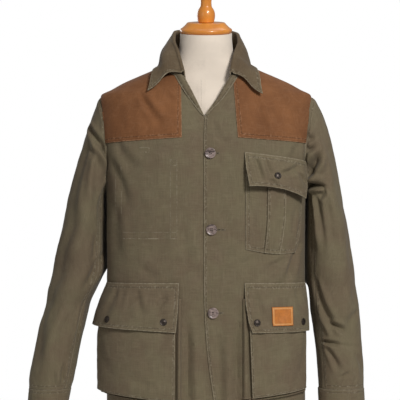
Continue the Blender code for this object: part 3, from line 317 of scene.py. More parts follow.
def armhole(turn, side):
    """The armhole's oval. turn runs from the shoulder over the front, under the arm and up the back."""
    turn = np.asarray(turn, float)
    reach = np.where(np.sin(turn) >= 0, -ARMHOLE_FRONT, ARMHOLE_BACK)
    y = reach * np.abs(np.sin(turn)) ** 0.9
    return at_depth(y, ARMHOLE_MID_Z + ARMHOLE_HALF_HEIGHT * np.cos(turn), side)


# ---------------------------------------------------------------- uneven cloth
def lumps(u, v, size_u, size_v, seed):
    """Smooth uneven heights from -1 to 1, about size metres across, the same on every run."""
    heights = np.random.RandomState(seed).uniform(-1, 1, (64, 64))
    a, b = np.asarray(u, float) / size_u + 37.4, np.asarray(v, float) / size_v + 29.6
    i, j = np.floor(a).astype(int), np.floor(b).astype(int)
    s, t = a - i, b - j
    s, t = s * s * s * (s * (s * 6 - 15) + 10), t * t * t * (t * (t * 6 - 15) + 10)
    low = heights[i % 64, j % 64] * (1 - s) + heights[(i + 1) % 64, j % 64] * s
    high = heights[i % 64, (j + 1) % 64] * (1 - s) + heights[(i + 1) % 64, (j + 1) % 64] * s
    return low * (1 - t) + high * t


def unevenness(layers, u, v):
    """Sum of layers of lumps, each given as its height, its sizes along u and v, and its seed."""
    return sum(height * lumps(u, v, size_u, size_v, seed) for height, size_u, size_v, seed in layers)


CREASE_COLUMNS = ("u", "v", "to_u", "to_v", "width", "depth", "bow")  # all in millimetres


def creased(creases, u, v):
    """Height of soft creases. Each runs from (u, v) to (to_u, to_v) and bows sideways; a negative depth is a
    trough with low banks beside it, a positive one a ridge."""
    height = np.zeros(np.broadcast(u, v).shape)
    for row in creases:
        crease = dict(zip(CREASE_COLUMNS, np.array(row) / 1000))
        run = np.array([crease["to_u"] - crease["u"], crease["to_v"] - crease["v"]])
        length = np.hypot(*run)
        run = run / length
        along = (u - crease["u"]) * run[0] + (v - crease["v"]) * run[1]
        across = (u - crease["u"]) * run[1] - (v - crease["v"]) * run[0]
        share = np.clip(along / length, 0, 1)
        across = across - crease["bow"] * 4 * share * (1 - share)
        width = crease["width"] * (0.75 + 0.5 * share)
        fade = ease(-0.12, 0.22, along / length) * (1 - ease(0.70, 1.15, along / length))
        banks = 0.42 * (bell(across - 1.9 * width, width) + bell(across + 1.9 * width, width))
        height += crease["depth"] * fade * (bell(across, width) - banks)
    return height


def tape_measures(points):
    """Distances along the cloth from a grid's left, right, lower and upper edges."""
    across = np.cumsum(np.linalg.norm(np.diff(points, axis=1), axis=-1), axis=1)
    across = np.pad(across, ((0, 0), (1, 0)))
    up = np.pad(np.cumsum(np.linalg.norm(np.diff(points, axis=0), axis=-1), axis=0), ((1, 0), (0, 0)))
    return across, across[:, -1:] - across, up, up[-1:] - up


def directions(points, outwards=None, round_it=False):
    """Facing directions of a grid. outwards is a rough direction that they must agree with."""
    if round_it:
        across = np.roll(points, -1, axis=1) - np.roll(points, 1, axis=1)
        across[:, [0, -1]] = (points[:, 1] - points[:, -2])[:, None]
    else:
        across = np.gradient(points, axis=1)
    normals = np.cross(across, np.gradient(points, axis=0))
    normals /= np.linalg.norm(normals, axis=-1, keepdims=True) + 1e-12
    if outwards is None:
        outwards = points * LEVEL
    return normals if np.sum(normals * outwards) > 0 else -normals


# ---------------------------------------------------------------- fronts and back
CELLS = 6  # cells of the fine grid to each cell of the solids' grid
NECK_COLUMNS = 4 * CELLS
SHOULDER_COLUMNS = 7 * CELLS
COLUMNS = NECK_COLUMNS + SHOULDER_COLUMNS
PATCH_COLUMN = 2 * CELLS
LOWER_ROWS = 150
ARM_STEPS = 5 * CELLS
PATCH_ROW = LOWER_ROWS + ARM_STEPS
TOP_ROW = PATCH_ROW + ARM_STEPS
TOP_SHARES = np.linspace(0, 5, ARM_STEPS + 1)
UPPER_ROWS = smooth(range(6), [1, 0.74, 0.50, 0.29, 0.12, 0], TOP_SHARES)
OPENING_ROWS_Z = np.interp(TOP_SHARES, range(6), [PATCH_BOTTOM_Z, OPENING_Z, 0.780, 0.806, 0.831, ROLL_TOP_Z])

FRONT_EDGES = {
    "left": Table(
        ("z", "edge"),
        [(0.08, 0.026), (0.143, 0.0165), (0.2, 0.008), (0.26, 0.001), (0.33, -0.0035), (0.4, -0.0049),
         (0.7, -0.0049), (OPENING_Z, -0.003), (0.8, 0.0245), (ROLL_TOP_Z, 0.0526)],
    ),
    "right": Table(
        ("z", "edge"),
        [(0.08, -0.03), (0.66, -0.03), (0.71, -0.022), (OPENING_Z, 0.0005), (0.8, 0.0235),
         (ROLL_TOP_Z, 0.0485)],
    ),
}
PATCH_EDGES = {
    "left": Table(("z", "edge"), [(0.08, 0.0820), (0.7105, 0.0685), (0.83, 0.0590), (0.93, 0.0560)]),
    "right": Table(("z", "edge"), [(0.08, 0.0530), (0.7105, 0.0530), (0.83, 0.0550), (0.93, 0.0560)]),
}
LAP_START, LAP_END = 0.010, 0.034  # the right front's dip is full up to the one width and gone past the other
LAP_TOP_Z = (OPENING_Z + 0.005, OPENING_Z + 0.045)  # and it fades out between these heights
BODY_LUMPS = [(0.0015, 0.045, 0.210, 3), (0.0008, 0.022, 0.060, 8), (0.0004, 0.012, 0.016, 12)]
HEM_STITCH = 0.018  # distance of the hem's stitching from its edge
TROUGH_LIMIT = 0.0058  # the back's troughs level off at this depth
VALLEY_REACH = 0.0040  # how far from a seam its dip reaches
TOP_VALLEY = 0.0007  # depth of the dip at the shoulder seam
PUCKER_PITCH = 0.0095  # from one wave along a row of stitches to the next

# The fronts' creases, by distance from the middle plane (the left front's is positive) and height.
FRONT_CREASES = [
    (207, 480, 182, 405, 6.5, -4.8, 4), (175, 448, 130, 418, 7, -3.2, 3),
    (195, 445, 150, 375, 8, -2.9, -4), (120, 452, 70, 430, 8, -1.9, 3),
    (71, 335, 65, 90, 8, -6.4, 2), (45, 300, 50, 100, 12, 4.2, 3),
    (27, 270, 33, 110, 9, -3.2, -2), (-42, 320, -40, 95, 9, -6.1, -3),
    (-20, 290, -18, 100, 11, 3.5, 2), (-50, 520, -30, 400, 14, -2.2, 4),
    (16, 741, 42, 700, 5.5, -3.2, 3), (10, 726, 26, 700, 4.5, -2.2, -2),
    (30, 560, 60, 480, 12, -1.9, 4), (-145, 806, -98.5, 744, 6.2, -5.6, 2),
    (-128, 808, -88, 756, 8, 3.4, 2), (-102, 816, -70, 792, 5.5, -3.4, 2),
    (120, 780, 150, 726, 9, 3, 2), (-145, 775, -125, 735, 9, -1.9, -3),
    (105, 800, 130, 755, 8, -2.2, 3), (170, 780, 145, 730, 8.5, -2.2, -3),
    (-195, 705, -150, 640, 10, -3.5, 6), (-205, 660, -175, 560, 9, -3.8, -4),
    (-195, 560, -190, 440, 11, -3.2, 5), (-140, 430, -100, 400, 10, -1.9, 3),
    (205, 700, 190, 660, 7, -2.6, 3),
]
# The back's, seen from the front, so that they are read in the same way.
BACK_CREASES = [
    (-195, 700, -125, 600, 8.6, -7.4, 10), (-200, 660, -150, 540, 7.9, -6.1, -8),
    (195, 705, 135, 590, 8.6, -7.8, -10), (202, 650, 165, 500, 7.9, -5.5, 8),
    (-60, 880, -90, 800, 7.2, -3.8, 4), (70, 870, 85, 790, 7.2, -4.2, -4),
    (-90, 520, -75, 180, 11.5, -7, 10), (-45, 460, -40, 140, 13, 7, -6),
    (15, 540, 25, 160, 11.5, -6.5, 8), (95, 500, 85, 150, 12.2, -7, -9),
    (150, 420, 145, 130, 10.1, 5.5, 6), (-150, 400, -140, 140, 10.1, -5.5, 5),
    (-30, 780, 35, 740, 9.4, -3.2, 6), (40, 420, -70, 395, 7.9, -3.2, 5),
    (-165, 760, -90, 690, 8.6, -4.8, -6), (160, 780, 98, 700, 8.6, -4.8, 6),
    (-180, 480, -100, 440, 7.9, -4.4, -6), (185, 455, 115, 425, 7.6, -4, 5),
    (-125, 330, -120, 130, 10.8, 4.6, 4), (55, 400, 58, 130, 10.8, 5, 4),
]


def shoulder_seam():
    heights = np.linspace(TIP_Z, NECK_SIDE_Z, 400)
    widths = BODY.read("half_width", heights)
    x = np.linspace(widths[-1], widths[0], SHOULDER_COLUMNS + 1)
    return np.stack([x, np.interp(x, widths[::-1], heights[::-1])], -1)


def front_neckline(name, rise):
    start_x = FRONT_EDGES[name].read("edge", ROLL_TOP_Z)
    end_x = BODY.read("half_width", NECK_SIDE_Z)
    return start_x + (end_x - start_x) * rise, ROLL_TOP_Z + (NECK_SIDE_Z - ROLL_TOP_Z) * rise**1.6


def back_neckline(rise):
    x = BODY.read("half_width", NECK_SIDE_Z) * np.asarray(rise)
    return x, NECK_BACK_Z + (NECK_SIDE_Z - NECK_BACK_Z) * np.asarray(rise) ** 2.4


def upper_part(grid, arm, top, back, first):
    """Fills the rows above the patch line. first holds the first column's points, or None."""
    for j in range(COLUMNS + 1):
        if j == 0 and first is not None:
            column = first
        elif j == COLUMNS:
            column = arm[ARM_STEPS:]
        else:
            below = grid[PATCH_ROW, j]
            fall = np.linspace(0, 1, FINE) ** 2
            x = top[j, 0] + (below[0] - top[j, 0]) * fall
            z = top[j, 1] + (below[2] - top[j, 1]) * fall
            column = resampled(at_width(x, z, back), UPPER_ROWS)
        grid[PATCH_ROW:, j] = column
    return grid


def front_grid(name):
    """Grid of surface points of one front, for +X. Rows run from the hem to the shoulder seam."""
    edge, patch = FRONT_EDGES[name], PATCH_EDGES[name]
    arm = armhole(math.pi * (1 - np.arange(2 * ARM_STEPS + 1) / (2 * ARM_STEPS)), 1)
    lower = np.linspace(HEM_Z, ARMPIT_Z, LOWER_ROWS + 1)[:-1]
    levels = np.concatenate([lower, np.linspace(ARMPIT_Z, PATCH_BOTTOM_Z, ARM_STEPS + 1)])
    grid = np.zeros((TOP_ROW + 1, COLUMNS + 1, 3))
    for i, z in enumerate(levels):
        k = i - LOWER_ROWS
        end = (BODY.read("half_width", z), z) if k < 0 else (arm[k, 0], arm[k, 2])
        middle = (patch.read("edge", z), z)
        near = line_on_body((edge.read("edge", z), z), middle, PATCH_COLUMN)
        grid[i] = np.concatenate([near, line_on_body(middle, end, COLUMNS - PATCH_COLUMN)[1:]])
    ends = front_neckline(name, np.array([0, 1]))[0]
    meets = (patch.read("edge", ROLL_TOP_Z) - ends[0]) / (ends[1] - ends[0])
    rises = np.interp(range(NECK_COLUMNS + 1), [0, PATCH_COLUMN, NECK_COLUMNS], [0, meets, 1])
    neck = np.stack(front_neckline(name, rises), -1)
    top = np.concatenate([neck, shoulder_seam()[1:]])
    first = at_width(edge.read("edge", OPENING_ROWS_Z), OPENING_ROWS_Z)
    return upper_part(grid, arm, top, False, first)


def back_grid():
    arm = armhole(math.pi * (1 + np.arange(2 * ARM_STEPS + 1) / (2 * ARM_STEPS)), 1)
    levels = np.linspace(HEM_Z, ARMPIT_Z, LOWER_ROWS + 1)[:-1]
    ends = [(BODY.read("half_width", z), z, z) for z in levels]
    ends += [(arm[k, 0], arm[k, 2], ARMPIT_Z + (PATCH_BOTTOM_Z - ARMPIT_Z) * k / ARM_STEPS)
             for k in range(ARM_STEPS + 1)]
    grid = np.zeros((TOP_ROW + 1, COLUMNS + 1, 3))
    for i, (x, z, middle_z) in enumerate(ends):
        grid[i] = line_on_body((0, middle_z), (x, z), COLUMNS, back=True)
    neckline = at_width(*back_neckline(np.linspace(0, 1, FINE)), back=True)
    neck = resampled(neckline, np.linspace(0, 1, NECK_COLUMNS + 1))[:, [0, 2]]
    grid = upper_part(grid, arm, np.concatenate([neck, shoulder_seam()[1:]]), True, None)
    return np.concatenate([(grid * MIRROR)[:, :0:-1], grid], axis=1)


def mirrored(grid, name):
    """The right front's pieces lie at -X, with their columns still counted from the front edge."""
    return grid * MIRROR if name == "right" else grid


def off_the_seam(grid, back=False):
    """Draws a panel's side and shoulder edges back from the seam, towards the panel."""
    grid = grid.copy()
    shift = SEAM * 0.75 * (1 if back else -1)
    if back:
        grid[: LOWER_ROWS + 1, 0, 1] += shift
    grid[: LOWER_ROWS + 1, -1, 1] += shift
    grid[-1, :, 1] += shift
    return grid


def tuck(name, points):
    """The right front dips smoothly to pass under the left one."""
    if name == "left":
        return np.zeros(points.shape[:-1])
    reach = ease(-LAP_END, -LAP_START, points[..., 0])
    return -UNDERLAP * reach * (1 - ease(*LAP_TOP_Z, points[..., 2]))


def drape(points):
    """How far the body's cloth stands out of its smooth surface, at points on that surface."""
    x, y, z = points[..., 0], points[..., 1], points[..., 2]
    depth = jacket_sizes().crease_depth
    behind = y > 0
    height = np.where(behind, creased(BACK_CREASES, x, z), creased(FRONT_CREASES, x, z))
    height = height + unevenness(BODY_LUMPS, x, z)
    height = np.where(behind & (height < 0), -TROUGH_LIMIT * np.tanh(-height / TROUGH_LIMIT), height)
    free = ease(0.004, 0.050, np.abs(y)) * (1 - ease(0.780, 0.850, z) * 0.75)
    below_arm = 1 - ease(ARMPIT_Z - 0.10, ARMPIT_Z, z)
    return height * depth * (free + (1 - free) * 0.25 * below_arm)


def seam_valley(distance, depth=0.0009):
    """Cloth dips towards a seam."""
    return -depth * bell(distance, VALLEY_REACH)


def puckers(distance, along, seed, depth=0.00055, reach=0.008):
    """Little waves across a row of stitches."""
    wave = np.sin(2 * math.pi * (along / PUCKER_PITCH + 0.35 * lumps(along, distance, 0.02, 0.02, seed)))
    return depth * bell(distance, reach) * wave * (0.6 + 0.4 * lumps(along, 0 * along, 0.05, 0.05, seed + 1))


def front_surface(name):
    """Outer face of one front: its points, and the smooth body's outward directions there."""
    base = off_the_seam(mirrored(front_grid(name), name))
    edge, side, hem, top = tape_measures(base)
    lift = tuck(name, base) + drape(base)
    lift += seam_valley(side) + seam_valley(top, TOP_VALLEY)
    lift += puckers(np.abs(hem - HEM_STITCH), edge, 21)
    lift += puckers(side, hem, 23, 0.0003)
    normals = outward(base)
    return base + normals * lift[..., None], normals


def back_surface():
    base = off_the_seam(back_grid(), back=True)
    left, right, hem, top = tape_measures(base)
    side = np.minimum(left, right)
    lift = drape(base) + seam_valley(side) + seam_valley(top, TOP_VALLEY)
    lift += puckers(np.abs(hem - HEM_STITCH), left, 25) + puckers(side, hem, 27, 0.0003)
    normals = outward(base)
    return base + normals * lift[..., None], normals


def patch_surface(name):
    base = off_the_seam(mirrored(front_grid(name), name))
    lift = tuck(name, base) + drape(base)
    top = tape_measures(base)[3]
    lift += seam_valley(top, TOP_VALLEY)
    base, lift = base[PATCH_ROW:, PATCH_COLUMN:], lift[PATCH_ROW:, PATCH_COLUMN:]
    normals = outward(base)
    inner, _, lower, _ = tape_measures(base)
    crown = ease(TIP_Z - 0.045, TIP_Z, base[..., 2]) * ease(0.150, 0.200, np.abs(base[..., 0]))
    lift = lift + LAID_ON + FACING + 0.0006 * crown + 0.0004 * ease(0.003, 0.012, np.minimum(inner, lower))
    lift += puckers(inner, lower, 31, 0.0006, 0.010) + puckers(lower, inner, 33, 0.0008, 0.015)
    points = base + normals * lift[..., None]
    points[:, -1] += (points[:, -2] - points[:, -1]) * 0.4
    return points, normals


# ---------------------------------------------------------------- sleeves
# Creases by distance round the sleeve from its outer line, through its front, and height.
SLEEVE_REACH = 0.055  # metres round the sleeve to a turn of one radian
SLEEVE_CREASES = {
    "right": [
        (8, 750, 86, 690, 5, -7, 0), (78, 700, 146, 632, 5.8, -12.5, 0),
        (50, 706, 128, 640, 6.5, 5, 0), (84, 742, 132, 690, 6, 3, 2),
        (74, 680, 106, 560, 8, 4.6, 4), (120, 660, 140, 600, 5, 4, 0),
        (46, 700, 60, 500, 15, -5.6, 6), (146, 640, 140, 520, 8, -6, 4),
        (60, 520, 36, 330, 15, -4.4, 8), (98, 560, 90, 360, 17, 3.6, 4),
        (126, 500, 118, 380, 10, -5, -4), (150, 460, 128, 395, 8, -5, 4),
        (134, 352, 140, 262, 5, -7.5, 0), (86, 350, 66, 215, 13, 3, 4),
        (110, 330, 90, 240, 10, -3, 3), (30, 330, 45, 210, 12, -3, -4),
        (118, 215, 126, 168, 6, -5, 2), (100, 205, 112, 172, 6, 2.6, 0),
        (-60, 620, -90, 460, 13, -4.4, 8), (-20, 660, -30, 480, 14, -3, 8),
        (-80, 430, -20, 350, 11, -4.8, -6), (-100, 350, -40, 300, 9, -5, 5),
        (-60, 740, -80, 620, 12, -4.2, -6), (-40, 260, -80, 190, 10, -3.2, 4),
        (230, 560, 200, 420, 11, -4, 6), (190, 360, 220, 280, 10, -4, 4),
    ],
    "left": [
        (70, 677, 146, 610, 7.2, -16, 0), (92, 682, 148, 645, 4.2, 4, 0),
        (74, 694, 142, 660, 4.4, -7, 0), (70, 660, 100, 622, 8, 4.4, 2),
        (140, 662, 154, 618, 5, -7, 1), (66, 716, 104, 704, 4.8, -6.2, 2),
        (60, 728, 96, 718, 6, 3.4, 0), (82, 606, 152, 613, 5.8, -15, 2),
        (78, 623, 146, 628, 6.5, 7, 2), (84, 600, 112, 584, 8, -9, 2),
        (128, 592, 119, 470, 6.5, 6.8, 1), (100, 576, 98, 440, 10, 3, 4),
        (84, 580, 82, 470, 11, -3.6, -4), (140, 600, 138, 440, 8, -5, 2),
        (50, 740, 40, 560, 14, -2.6, 6), (20, 560, 46, 400, 15, -3.2, 8),
        (134, 400, 104, 296, 8, -8.6, -3), (112, 304, 70, 284, 5.6, -7.4, 2),
        (122, 304, 110, 272, 6, 3.6, 0), (138, 264, 90, 258, 4.2, -7.4, 0),
        (96, 258, 36, 251, 4, -2.2, 0), (122, 250, 94, 202, 6, -5.6, 2),
        (92, 186, 68, 196, 4, -3.6, 0), (50, 380, 80, 310, 12, 3, -4),
        (30, 330, 70, 290, 9, -3.2, -4), (50, 235, 20, 185, 9, -3, 4),
        (-50, 620, -80, 480, 13, -4.4, 8), (-90, 410, -30, 350, 11, -5, -6),
        (-80, 330, -40, 290, 9, -5, 5), (-70, 740, -90, 640, 12, -4.2, -5),
        (-50, 250, -90, 180, 10, -3.2, 4), (225, 550, 200, 410, 11, -4, -6),
        (190, 350, 215, 270, 10, -4, 4),
    ],
}
SLEEVE_LUMPS = {
    name: [(0.0018, 0.036, 0.120, seed), (0.0008, 0.022, 0.035, 45), (0.00025, 0.010, 0.012, 47)]
    for name, seed in (("right", 40), ("left", 42))
}
CUFF_LUMPS = [(0.0010, 0.030, 0.05, 57), (0.0004, 0.012, 0.02, 58)]
HEAD_TAB = 0.0040  # the sleeve's cloth reaches this far in through the armhole
ROUND_CELLS = {"upper": 104, "under": 38}
HEAD_ROWS, TUBE_ROWS = 90, 142
SLEEVE_ACROSS = 0.11  # rough width of a sleeve, to turn its seams' gap into an angle
BESIDE_BODY_X = 0.2215  # the sleeve's inner wall is drawn in to here, behind the body's side
TOUCHING_X = 0.222  # no fold of that wall stands out where it hangs about here
DRAWN_IN_Z = {"right": (0.402, 0.428), "left": (0.37, 0.398)}  # the inner wall is drawn in above this height


def sleeve_ring(name, turn, z):
    """Point of the sleeve's tube. turn 0 is its outer line, a quarter turn its front."""
    table = SLEEVES[name]
    fold = ELBOW_FOLDS[name].read("out", z) * np.clip(np.sin(turn + FOLD_TURN), 0, 1) ** 1.5
    x = table.read("x", z) + (table.read("half_width", z) + fold) * np.cos(turn)
    y = table.read("y", z) - (table.read("half_depth", z) + fold) * np.sin(turn)
    return np.stack([SIDE[name] * x, y, z + 0 * turn], -1)


def clear_of_body(points, turn, down, side, drawn_in_z):
    """Keeps the sleeve just clear of the body's side, and draws its inner wall in close behind that side."""
    y, z = points[..., 1], points[..., 2]
    least = at_depth(y, z, 1)[..., 0] + ARM_CLEARANCE * ease(-0.02, 0.18, down)
    in_reach = (np.abs(y) < body_sizes(z, y > 0)[1]) & (down > 0)
    x = np.where(in_reach, np.maximum(points[..., 0] * side, least), points[..., 0] * side)
    pull = ease(0.30, 0.95, -np.cos(turn)) * bell(y - 0.038, 0.034)
    pull = pull * ease(*drawn_in_z, z) * ease(0.15, 0.45, down)
    close = np.maximum(least, BESIDE_BODY_X)
    x = x + (np.minimum(x, close) - x) * 0.95 * pull
    moved = points.copy()
    moved[..., 0] = x * side
    return moved


def sleeve_point(name, turn, down):
    """Sleeve surface: down runs 0 to 1 from the armhole to the tube, then on to 2 at the cuff's seam."""
    turn, down = np.broadcast_arrays(np.asarray(turn, float), np.asarray(down, float))
    side = SIDE[name]
    seam = armhole(turn, side)
    towards_middle = np.array([side * ARMHOLE_WIDTH, 0, ARMHOLE_MID_Z]) - seam
    towards_middle /= np.linalg.norm(towards_middle, axis=-1, keepdims=True)
    start = seam + (outward(seam) + towards_middle) * SEAM * 1.5
    end = sleeve_ring(name, turn, np.full(turn.shape, CAP_BOTTOM_Z))
    top = (1 + np.cos(turn)) / 2
    low, high = np.array(SLEEVE_HEAD["armpit"]), np.array(SLEEVE_HEAD[name])
    out, fall, reach = np.moveaxis(low + (high - low) * top[..., None], -1, 0)
    leave = np.stack([side * out, -HEAD_FORWARD * np.sin(turn), fall], -1) * reach[..., None]
    bottom_reach, top_reach = TUBE_REACH
    arrive = np.stack([side * TUBE_SLANT + 0 * top, 0 * top, -1 + 0 * top], -1)
    arrive = arrive * (bottom_reach + (top_reach - bottom_reach) * top)[..., None]
    t = np.clip(down, 0, 1)[..., None]
    cap = (
        (2 * t**3 - 3 * t**2 + 1) * start
        + (t**3 - 2 * t**2 + t) * leave
        + (3 * t**2 - 2 * t**3) * end
        + (t**3 - t**2) * arrive
    )
    z = CAP_BOTTOM_Z + (CUFF_TOP_Z - CAP_BOTTOM_Z) * np.clip(down - 1, 0, 1)
    points = np.where(down[..., None] <= 1, cap, sleeve_ring(name, turn, z))
    return clear_of_body(points, turn, down, side, DRAWN_IN_Z[name])


def sleeve_surface(name, piece):
    """Outer face of the sleeve's upper or under piece, with rows from the armhole down to the cuff."""
    start, end = {"upper": (BACK_SEAM - 2 * math.pi, FRONT_SEAM), "under": (FRONT_SEAM, BACK_SEAM)}[piece]
    slot = SEAM / SLEEVE_ACROSS
    turns = np.linspace(start + slot, end - slot, ROUND_CELLS[piece] + 1)
    foot = 2 - SEAM / (CAP_BOTTOM_Z - CUFF_TOP_Z)
    downs = np.concatenate([np.linspace(0, 1, HEAD_ROWS)[:-1], np.linspace(1, foot, TUBE_ROWS)])
    turn, down = np.meshgrid(turns, downs)
    base = sleeve_point(name, turn, down)
    outer = sleeve_point(name, np.zeros(len(downs)), downs)
    middle = outer + sleeve_point(name, np.full(len(downs), math.pi), downs)
    normals = directions(base, base - middle[:, None] / 2)
    first, last, head, foot = tape_measures(base)
    seam = np.minimum(first, last)
    around = turn * SLEEVE_REACH
    z = base[..., 2]
    drape_lift = creased(SLEEVE_CREASES[name], around, z)
    drape_lift += unevenness(SLEEVE_LUMPS[name], around, z)
    drape_lift *= jacket_sizes().crease_depth
    close = bell(np.abs(base[..., 0]) - TOUCHING_X, 0.012) * ease(0.5, 1.0, -np.cos(turn))
    drape_lift = np.where(drape_lift < 0, drape_lift, drape_lift * (1 - close))
    free = ease(0, 0.012 + 0.012 * ease(0.735, 0.765, z), head)
    free = free * (0.35 + 0.65 * ease(0, 0.012, seam)) * (0.45 + 0.55 * ease(0, 0.02, foot))
    lift = drape_lift * free + 0.0022 * bell(head - 0.011, 0.009) * ease(-0.5, 0.6, np.cos(turn))
    lift += seam_valley(seam, 0.0008) + puckers(seam, head, 51, 0.0004)
    lift += puckers(head, first, 53, 0.0005, 0.009) * ease(0, 0.004, head)
    return base + normals * lift[..., None], normals


def with_tab(name, points, *values):
    """Adds a first row to the sleeve's points and to the values that go with them. It passes in through the
    armhole, so that no light shows through the seam."""
    tabbed = [np.concatenate([grid[:1], grid]) for grid in (points, *values)]
    tabbed[0][0, :, 0] -= SIDE[name] * HEAD_TAB
    return tabbed


def cuff_surface(name):
    turns = np.linspace(0, 2 * math.pi, 121)
    turn, z = np.meshgrid(turns, np.linspace(CUFF_TOP_Z, CUFF_BOTTOM_Z, 26))
    base = sleeve_ring(name, turn, z)
    middle = base[:, :-1].mean(axis=1, keepdims=True)
    normals = directions(base, base - middle, round_it=True)
    around = turn * SLEEVE_REACH
    ends = 1 - ease(5.9, 6.28, turn)
    uneven = unevenness(CUFF_LUMPS, around, z) * ends * ease(0, 0.35, turn)
    fall = CUFF_TOP_Z - z
    lift = 0.0006 + uneven + 0.0007 * ease(0.0, 0.004, fall) - 0.0004 * bell(fall - 0.007, 0.002)
    lift -= 0.0004 * bell(CUFF_TOP_Z - CUFF_BOTTOM_Z - fall - 0.006, 0.002)
    points = base + normals * lift[..., None]
    points[:, -1] = points[:, 0]
    return points, normals


COLLAR_COLUMNS = ("round", "x", "y", "z")
# From the middle of the back (round 0) to the collar's front end (round 1): the roll at the top ...
ROLL = {
    "right": Table(COLLAR_COLUMNS, [
        (0, 0, 0.067, 0.968), (0.25, 0.044, 0.058, 0.969), (0.45, 0.0715, 0.028, 0.962),
        (0.6, 0.073, -0.008, 0.939), (0.75, 0.064, -0.043, 0.91), (0.9, 0.056, -0.07, 0.88),
        (1, 0.0505, -0.087, 0.859)]),
    "left": Table(COLLAR_COLUMNS, [
        (0, 0, 0.067, 0.968), (0.25, 0.044, 0.058, 0.967), (0.45, 0.0725, 0.028, 0.956),
        (0.6, 0.075, -0.008, 0.936), (0.75, 0.066, -0.043, 0.908), (0.9, 0.059, -0.07, 0.879),
        (1, 0.056, -0.087, 0.857)]),
}
# ... and the outer edge of the fall.
FALL_EDGE = {
    "right": Table(COLLAR_COLUMNS, [
        (0, 0, 0.093, 0.895), (0.25, 0.06, 0.079, 0.888), (0.45, 0.1, 0.043, 0.876),
        (0.6, 0.109, 0.005, 0.869), (0.75, 0.109, -0.038, 0.856), (0.9, 0.119, -0.07, 0.833),
        (1, 0.1275, -0.092, 0.813)]),
    "left": Table(COLLAR_COLUMNS, [
        (0, 0, 0.093, 0.895), (0.25, 0.06, 0.079, 0.887), (0.45, 0.099, 0.043, 0.874),
        (0.6, 0.107, 0.005, 0.869), (0.75, 0.106, -0.038, 0.852), (0.9, 0.115, -0.07, 0.827),
        (1, 0.122, -0.093, 0.804)]),
}
ROLL_RADIUS = 0.0048
ROLL_TURNS = np.radians([202, 155, 105, 55, 10])  # of the fold's points, from the stand over to the fall
FALL_SHARES = np.linspace(0.125, 1, 8)  # columns of the fall
COLLAR_LUMPS = [(0.0012, 0.050, 0.030, 63), (0.0004, 0.018, 0.018, 65)]
COLLAR_MIDDLE = 75  # the row at the middle of the back
BACK_BULGE = 0.006
FALL_BULGE = {"right": 0.0170, "left": -0.0030}
FALL_FLARE = {"right": 0.0050, "left": 0.0040}  # how far the fall turns up again at its front, near its edge
STAND_INSIDE = 0.0028  # the stand starts this far inside the neck seam, and this far above it
STAND_ABOVE = 0.0034
STAND_TUCK = np.array([-0.0040, -0.001, -0.010])  # how far its front ends hang inside the neck edge
STAND_TUCK_ROUND = (0.64, 1)  # where round the neck that sets in
FALL_CLEAR = (0.0056, 0.0135)  # least distance of the fall's outer face from the body: back, front
FALL_CLEAR_ROUND = (0.7, 0.86)  # where it changes from the one to the other


def over_body(points):
    """Rough distance of points from the body's surface, outwards."""
    x, y, z = points[..., 0], points[..., 1], points[..., 2]

    def level(x, y, z):
        half_width, depth, square = body_sizes(z, y > 0)
        return ((np.abs(x) / half_width) ** square + (np.abs(y) / depth) ** square) ** (1 / square)

    step = 0.001
    slope = np.stack([
        level(x + step, y, z) - level(x - step, y, z),
        level(x, y + step, z) - level(x, y - step, z),
        level(x, y, z + step) - level(x, y, z - step),
    ], -1) / (2 * step)
    steepness = np.linalg.norm(slope, axis=-1)
    return (level(x, y, z) - 1) / steepness, slope / steepness[..., None]


def kept_off_body(points, least):
    """Moves points out until they are at least that far from the body's surface."""
    for _ in range(4):
        distance, away = over_body(points)
        points = points + away * np.maximum(least - distance, 0)[..., None]
    return points


def neck_seam(name, round_):
    """The neckline the collar is sewn to, round 0 at the middle of the back and 1 at its front end."""
    rise = np.linspace(0, 1, 40)
    back = at_width(*back_neckline(rise), back=True)
    front = at_width(*front_neckline(name, rise[::-1]))
    return resampled(np.concatenate([back, front[1:]]), round_)


def collar_half(name, round_):
    """Grid of the collar's upper face for one side, in columns from the neck seam over the roll."""
    seam = neck_seam(name, round_)
    seam = seam - outward(seam) * STAND_INSIDE + np.array([0, 0, STAND_ABOVE])
    seam = seam + STAND_TUCK * ease(*STAND_TUCK_ROUND, round_)[:, None]
    roll = np.stack([ROLL[name].read(axis, round_) for axis in "xyz"], -1)
    edge = np.stack([FALL_EDGE[name].read(axis, round_) for axis in "xyz"], -1)
    flat = (edge - roll) * LEVEL
    flat /= np.linalg.norm(flat, axis=-1, keepdims=True)
    up = np.array([0, 0, 1.0])
    centre = roll - up * ROLL_RADIUS
    bend = [centre + ROLL_RADIUS * (np.cos(turn) * flat + np.sin(turn) * up) for turn in ROLL_TURNS]
    fall = edge - bend[-1]
    away = np.cross(np.cross(fall, flat), fall)
    away /= np.linalg.norm(away, axis=-1, keepdims=True)
    away *= np.sign(away[..., 2:3])
    front = ease(0.45, 0.80, round_)[:, None]
    end = ease(0.88, 1.0, round_)[:, None]
    bulge = BACK_BULGE + (FALL_BULGE[name] - BACK_BULGE) * front * (1 - 0.6 * end)
    flare = FALL_FLARE[name] * front
    leaf = []
    for share in FALL_SHARES:
        out = 4 * share * (1 - share) * bulge + np.sin(2 * math.pi * share) * flare
        leaf.append(bend[-1] + fall * share + away * out)
    near, far = FALL_CLEAR
    least = near + (far - near) * ease(*FALL_CLEAR_ROUND, round_)
    leaf = kept_off_body(np.stack(leaf, 1), least[:, None])
    return np.concatenate([np.stack([seam, (seam + bend[0]) / 2, *bend], 1), leaf], 1)


